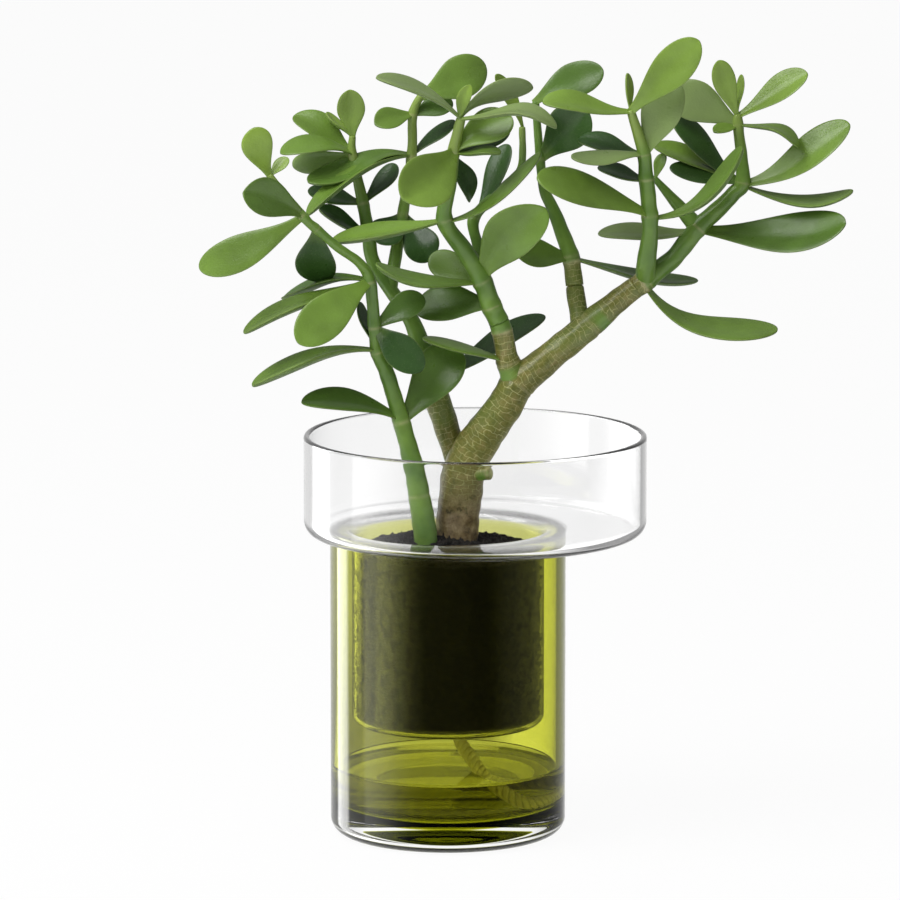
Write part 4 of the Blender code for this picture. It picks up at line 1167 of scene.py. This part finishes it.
def makeSoftBoxes():
    # a box of level 1 lights a face before it as white paper in even light would
    for name, box in studio["softBoxes"].items():
        data = bpy.data.lights.new(name, "AREA")
        data.shape = "RECTANGLE"
        data.size, data.size_y = box["size"]
        data.energy = box["level"] * np.pi * box["size"][0] * box["size"][1]
        lamp = bpy.data.objects.new(name, data)
        lamp.location = box["from"]
        lamp.rotation_euler = (Vector(studio["aim"]) - lamp.location).to_track_quat("-Z", "Y").to_euler()
        lamp.visible_camera = False
        lamp.visible_transmission = False
        lamp.visible_glossy = name == "overhead"
        scene.collection.objects.link(lamp)


def studioLevels(look, direction, kind, axis="X"):
    # the level in a direction: one ramp over an axis for the half behind, one for the half in front
    spread = between(look, axisOf(look, direction, axis), -1.0, 1.0)
    back = between(look, axisOf(look, direction, "Y"), -0.04, 0.04)
    peak = studio["peak"]
    rows = [ramp(look, spread, *[(at, level / peak) for at, level in studio[kind][half]])
            for half in ("ahead", "behind")]
    return blendColour(look, 1.0, blendColour(look, back, *rows), (peak, peak, peak), "MULTIPLY")


def lit(look, path, shown):
    # rays that already met a rough face are lit evenly, others see what is shown
    level, inside = (studio["diffuseLevel"],) * 3, (studio["insideLevel"],) * 3
    even = blendColour(look, path.outputs["Is Transmission Ray"], level, inside)
    rough = sums(look, "GREATER_THAN", path.outputs["Diffuse Depth"], 0.5)
    return blendColour(look, rough, shown, even)


def makeWorld():
    # white for the eye; by direction in and through glass
    world = bpy.data.worlds.new("studioWorld")
    scene.world = world
    world.use_nodes = True
    direction = addNode(world, "ShaderNodeTexCoord").outputs["Generated"]
    path = addNode(world, "ShaderNodeLightPath")
    shine = blendColour(world, path.outputs["Is Singular Ray"], studioLevels(world, direction, "gloss", "Z"),
                        studioLevels(world, direction, "mirrored"))
    passed = studioLevels(world, direction, "passed")
    shown = blendColour(world, path.outputs["Is Transmission Ray"], shine, passed)
    colour = blendColour(world, path.outputs["Is Camera Ray"], lit(world, path, shown), (1.0, 1.0, 1.0))
    wire(world, colour, world.node_tree.nodes["Background"].inputs["Color"])


def makeFloor():
    # white paper: even for the eye, with a faint shadow; through glass it has the studio's level in its
    # direction
    half = studio["floorSize"] / 2
    points = np.array([(-half, -half, 0), (half, -half, 0), (half, half, 0), (-half, half, 0)])
    points[:, 2] = -0.2 * mm
    mesh = putMesh("paperFloor", points, np.array([[0, 1, 2, 3]]), np.zeros((0, 3), int))
    floor = bpy.data.objects.new("paperFloor", mesh)
    floor.visible_glossy = False
    scene.collection.objects.link(floor)
    look, shader = newLook("whitePaper", (0.9, 0.9, 0.9), 0.9, Specular_IOR_Level=0.0)
    wire(look, ramp(look, noise(look, 30.0), (0.3, 0.89), (0.7, 0.91)), shader.inputs["Base Color"])
    outward = addNode(look, "ShaderNodeVectorMath", {"operation": "NORMALIZE"})
    wire(look, place(look), outward.inputs[0])
    distance = addNode(look, "ShaderNodeVectorMath", {"operation": "LENGTH"})
    wire(look, place(look), distance.inputs[0])
    under = between(look, distance.outputs["Value"], *studio["under"], 1.0, 0.0)
    path = addNode(look, "ShaderNodeLightPath")
    turned = sums(look, "GREATER_THAN", path.outputs["Glossy Depth"], 0.5)
    away = blendColour(look, turned, studioLevels(look, outward.outputs[0], "plain"),
                       studioLevels(look, outward.outputs[0], "edge"))
    potShade = studio["potShade"]
    floorY = axisOf(look, place(look), "Y")
    sideways = between(look, axisOf(look, place(look), "X"), *potShade["x"], 1.0, 0.0)
    near = between(look, floorY, *potShade["y"], potShade["depth"], 0.0)
    shade = times(look, times(look, sideways, near), sums(look, "GREATER_THAN", floorY, 0.0))
    away = blendColour(look, shade, away, (0.0, 0.0, 0.0))
    shown = blendColour(look, under, away, (1.0, 1.0, 1.0))
    shown = blendColour(look, path.outputs["Is Camera Ray"], lit(look, path, shown), (1.0, 1.0, 1.0))
    glow = addNode(look, "ShaderNodeEmission", Strength=1.0)
    wire(look, shown, glow.inputs["Color"])
    both = addNode(look, "ShaderNodeMixShader")
    seen = sums(look, "MAXIMUM", path.outputs["Is Camera Ray"], path.outputs["Is Transmission Ray"])
    wire(look, times(look, seen, 1.0 - studio["floorShade"]), both.inputs[0])
    wire(look, shader.outputs[0], both.inputs[1])
    wire(look, glow.outputs[0], both.inputs[2])
    wire(look, both.outputs[0], look.node_tree.nodes["Material Output"].inputs["Surface"])
    mesh.materials.append(look)


makeSoftBoxes()
makeWorld()
makeFloor()
print("studio set")
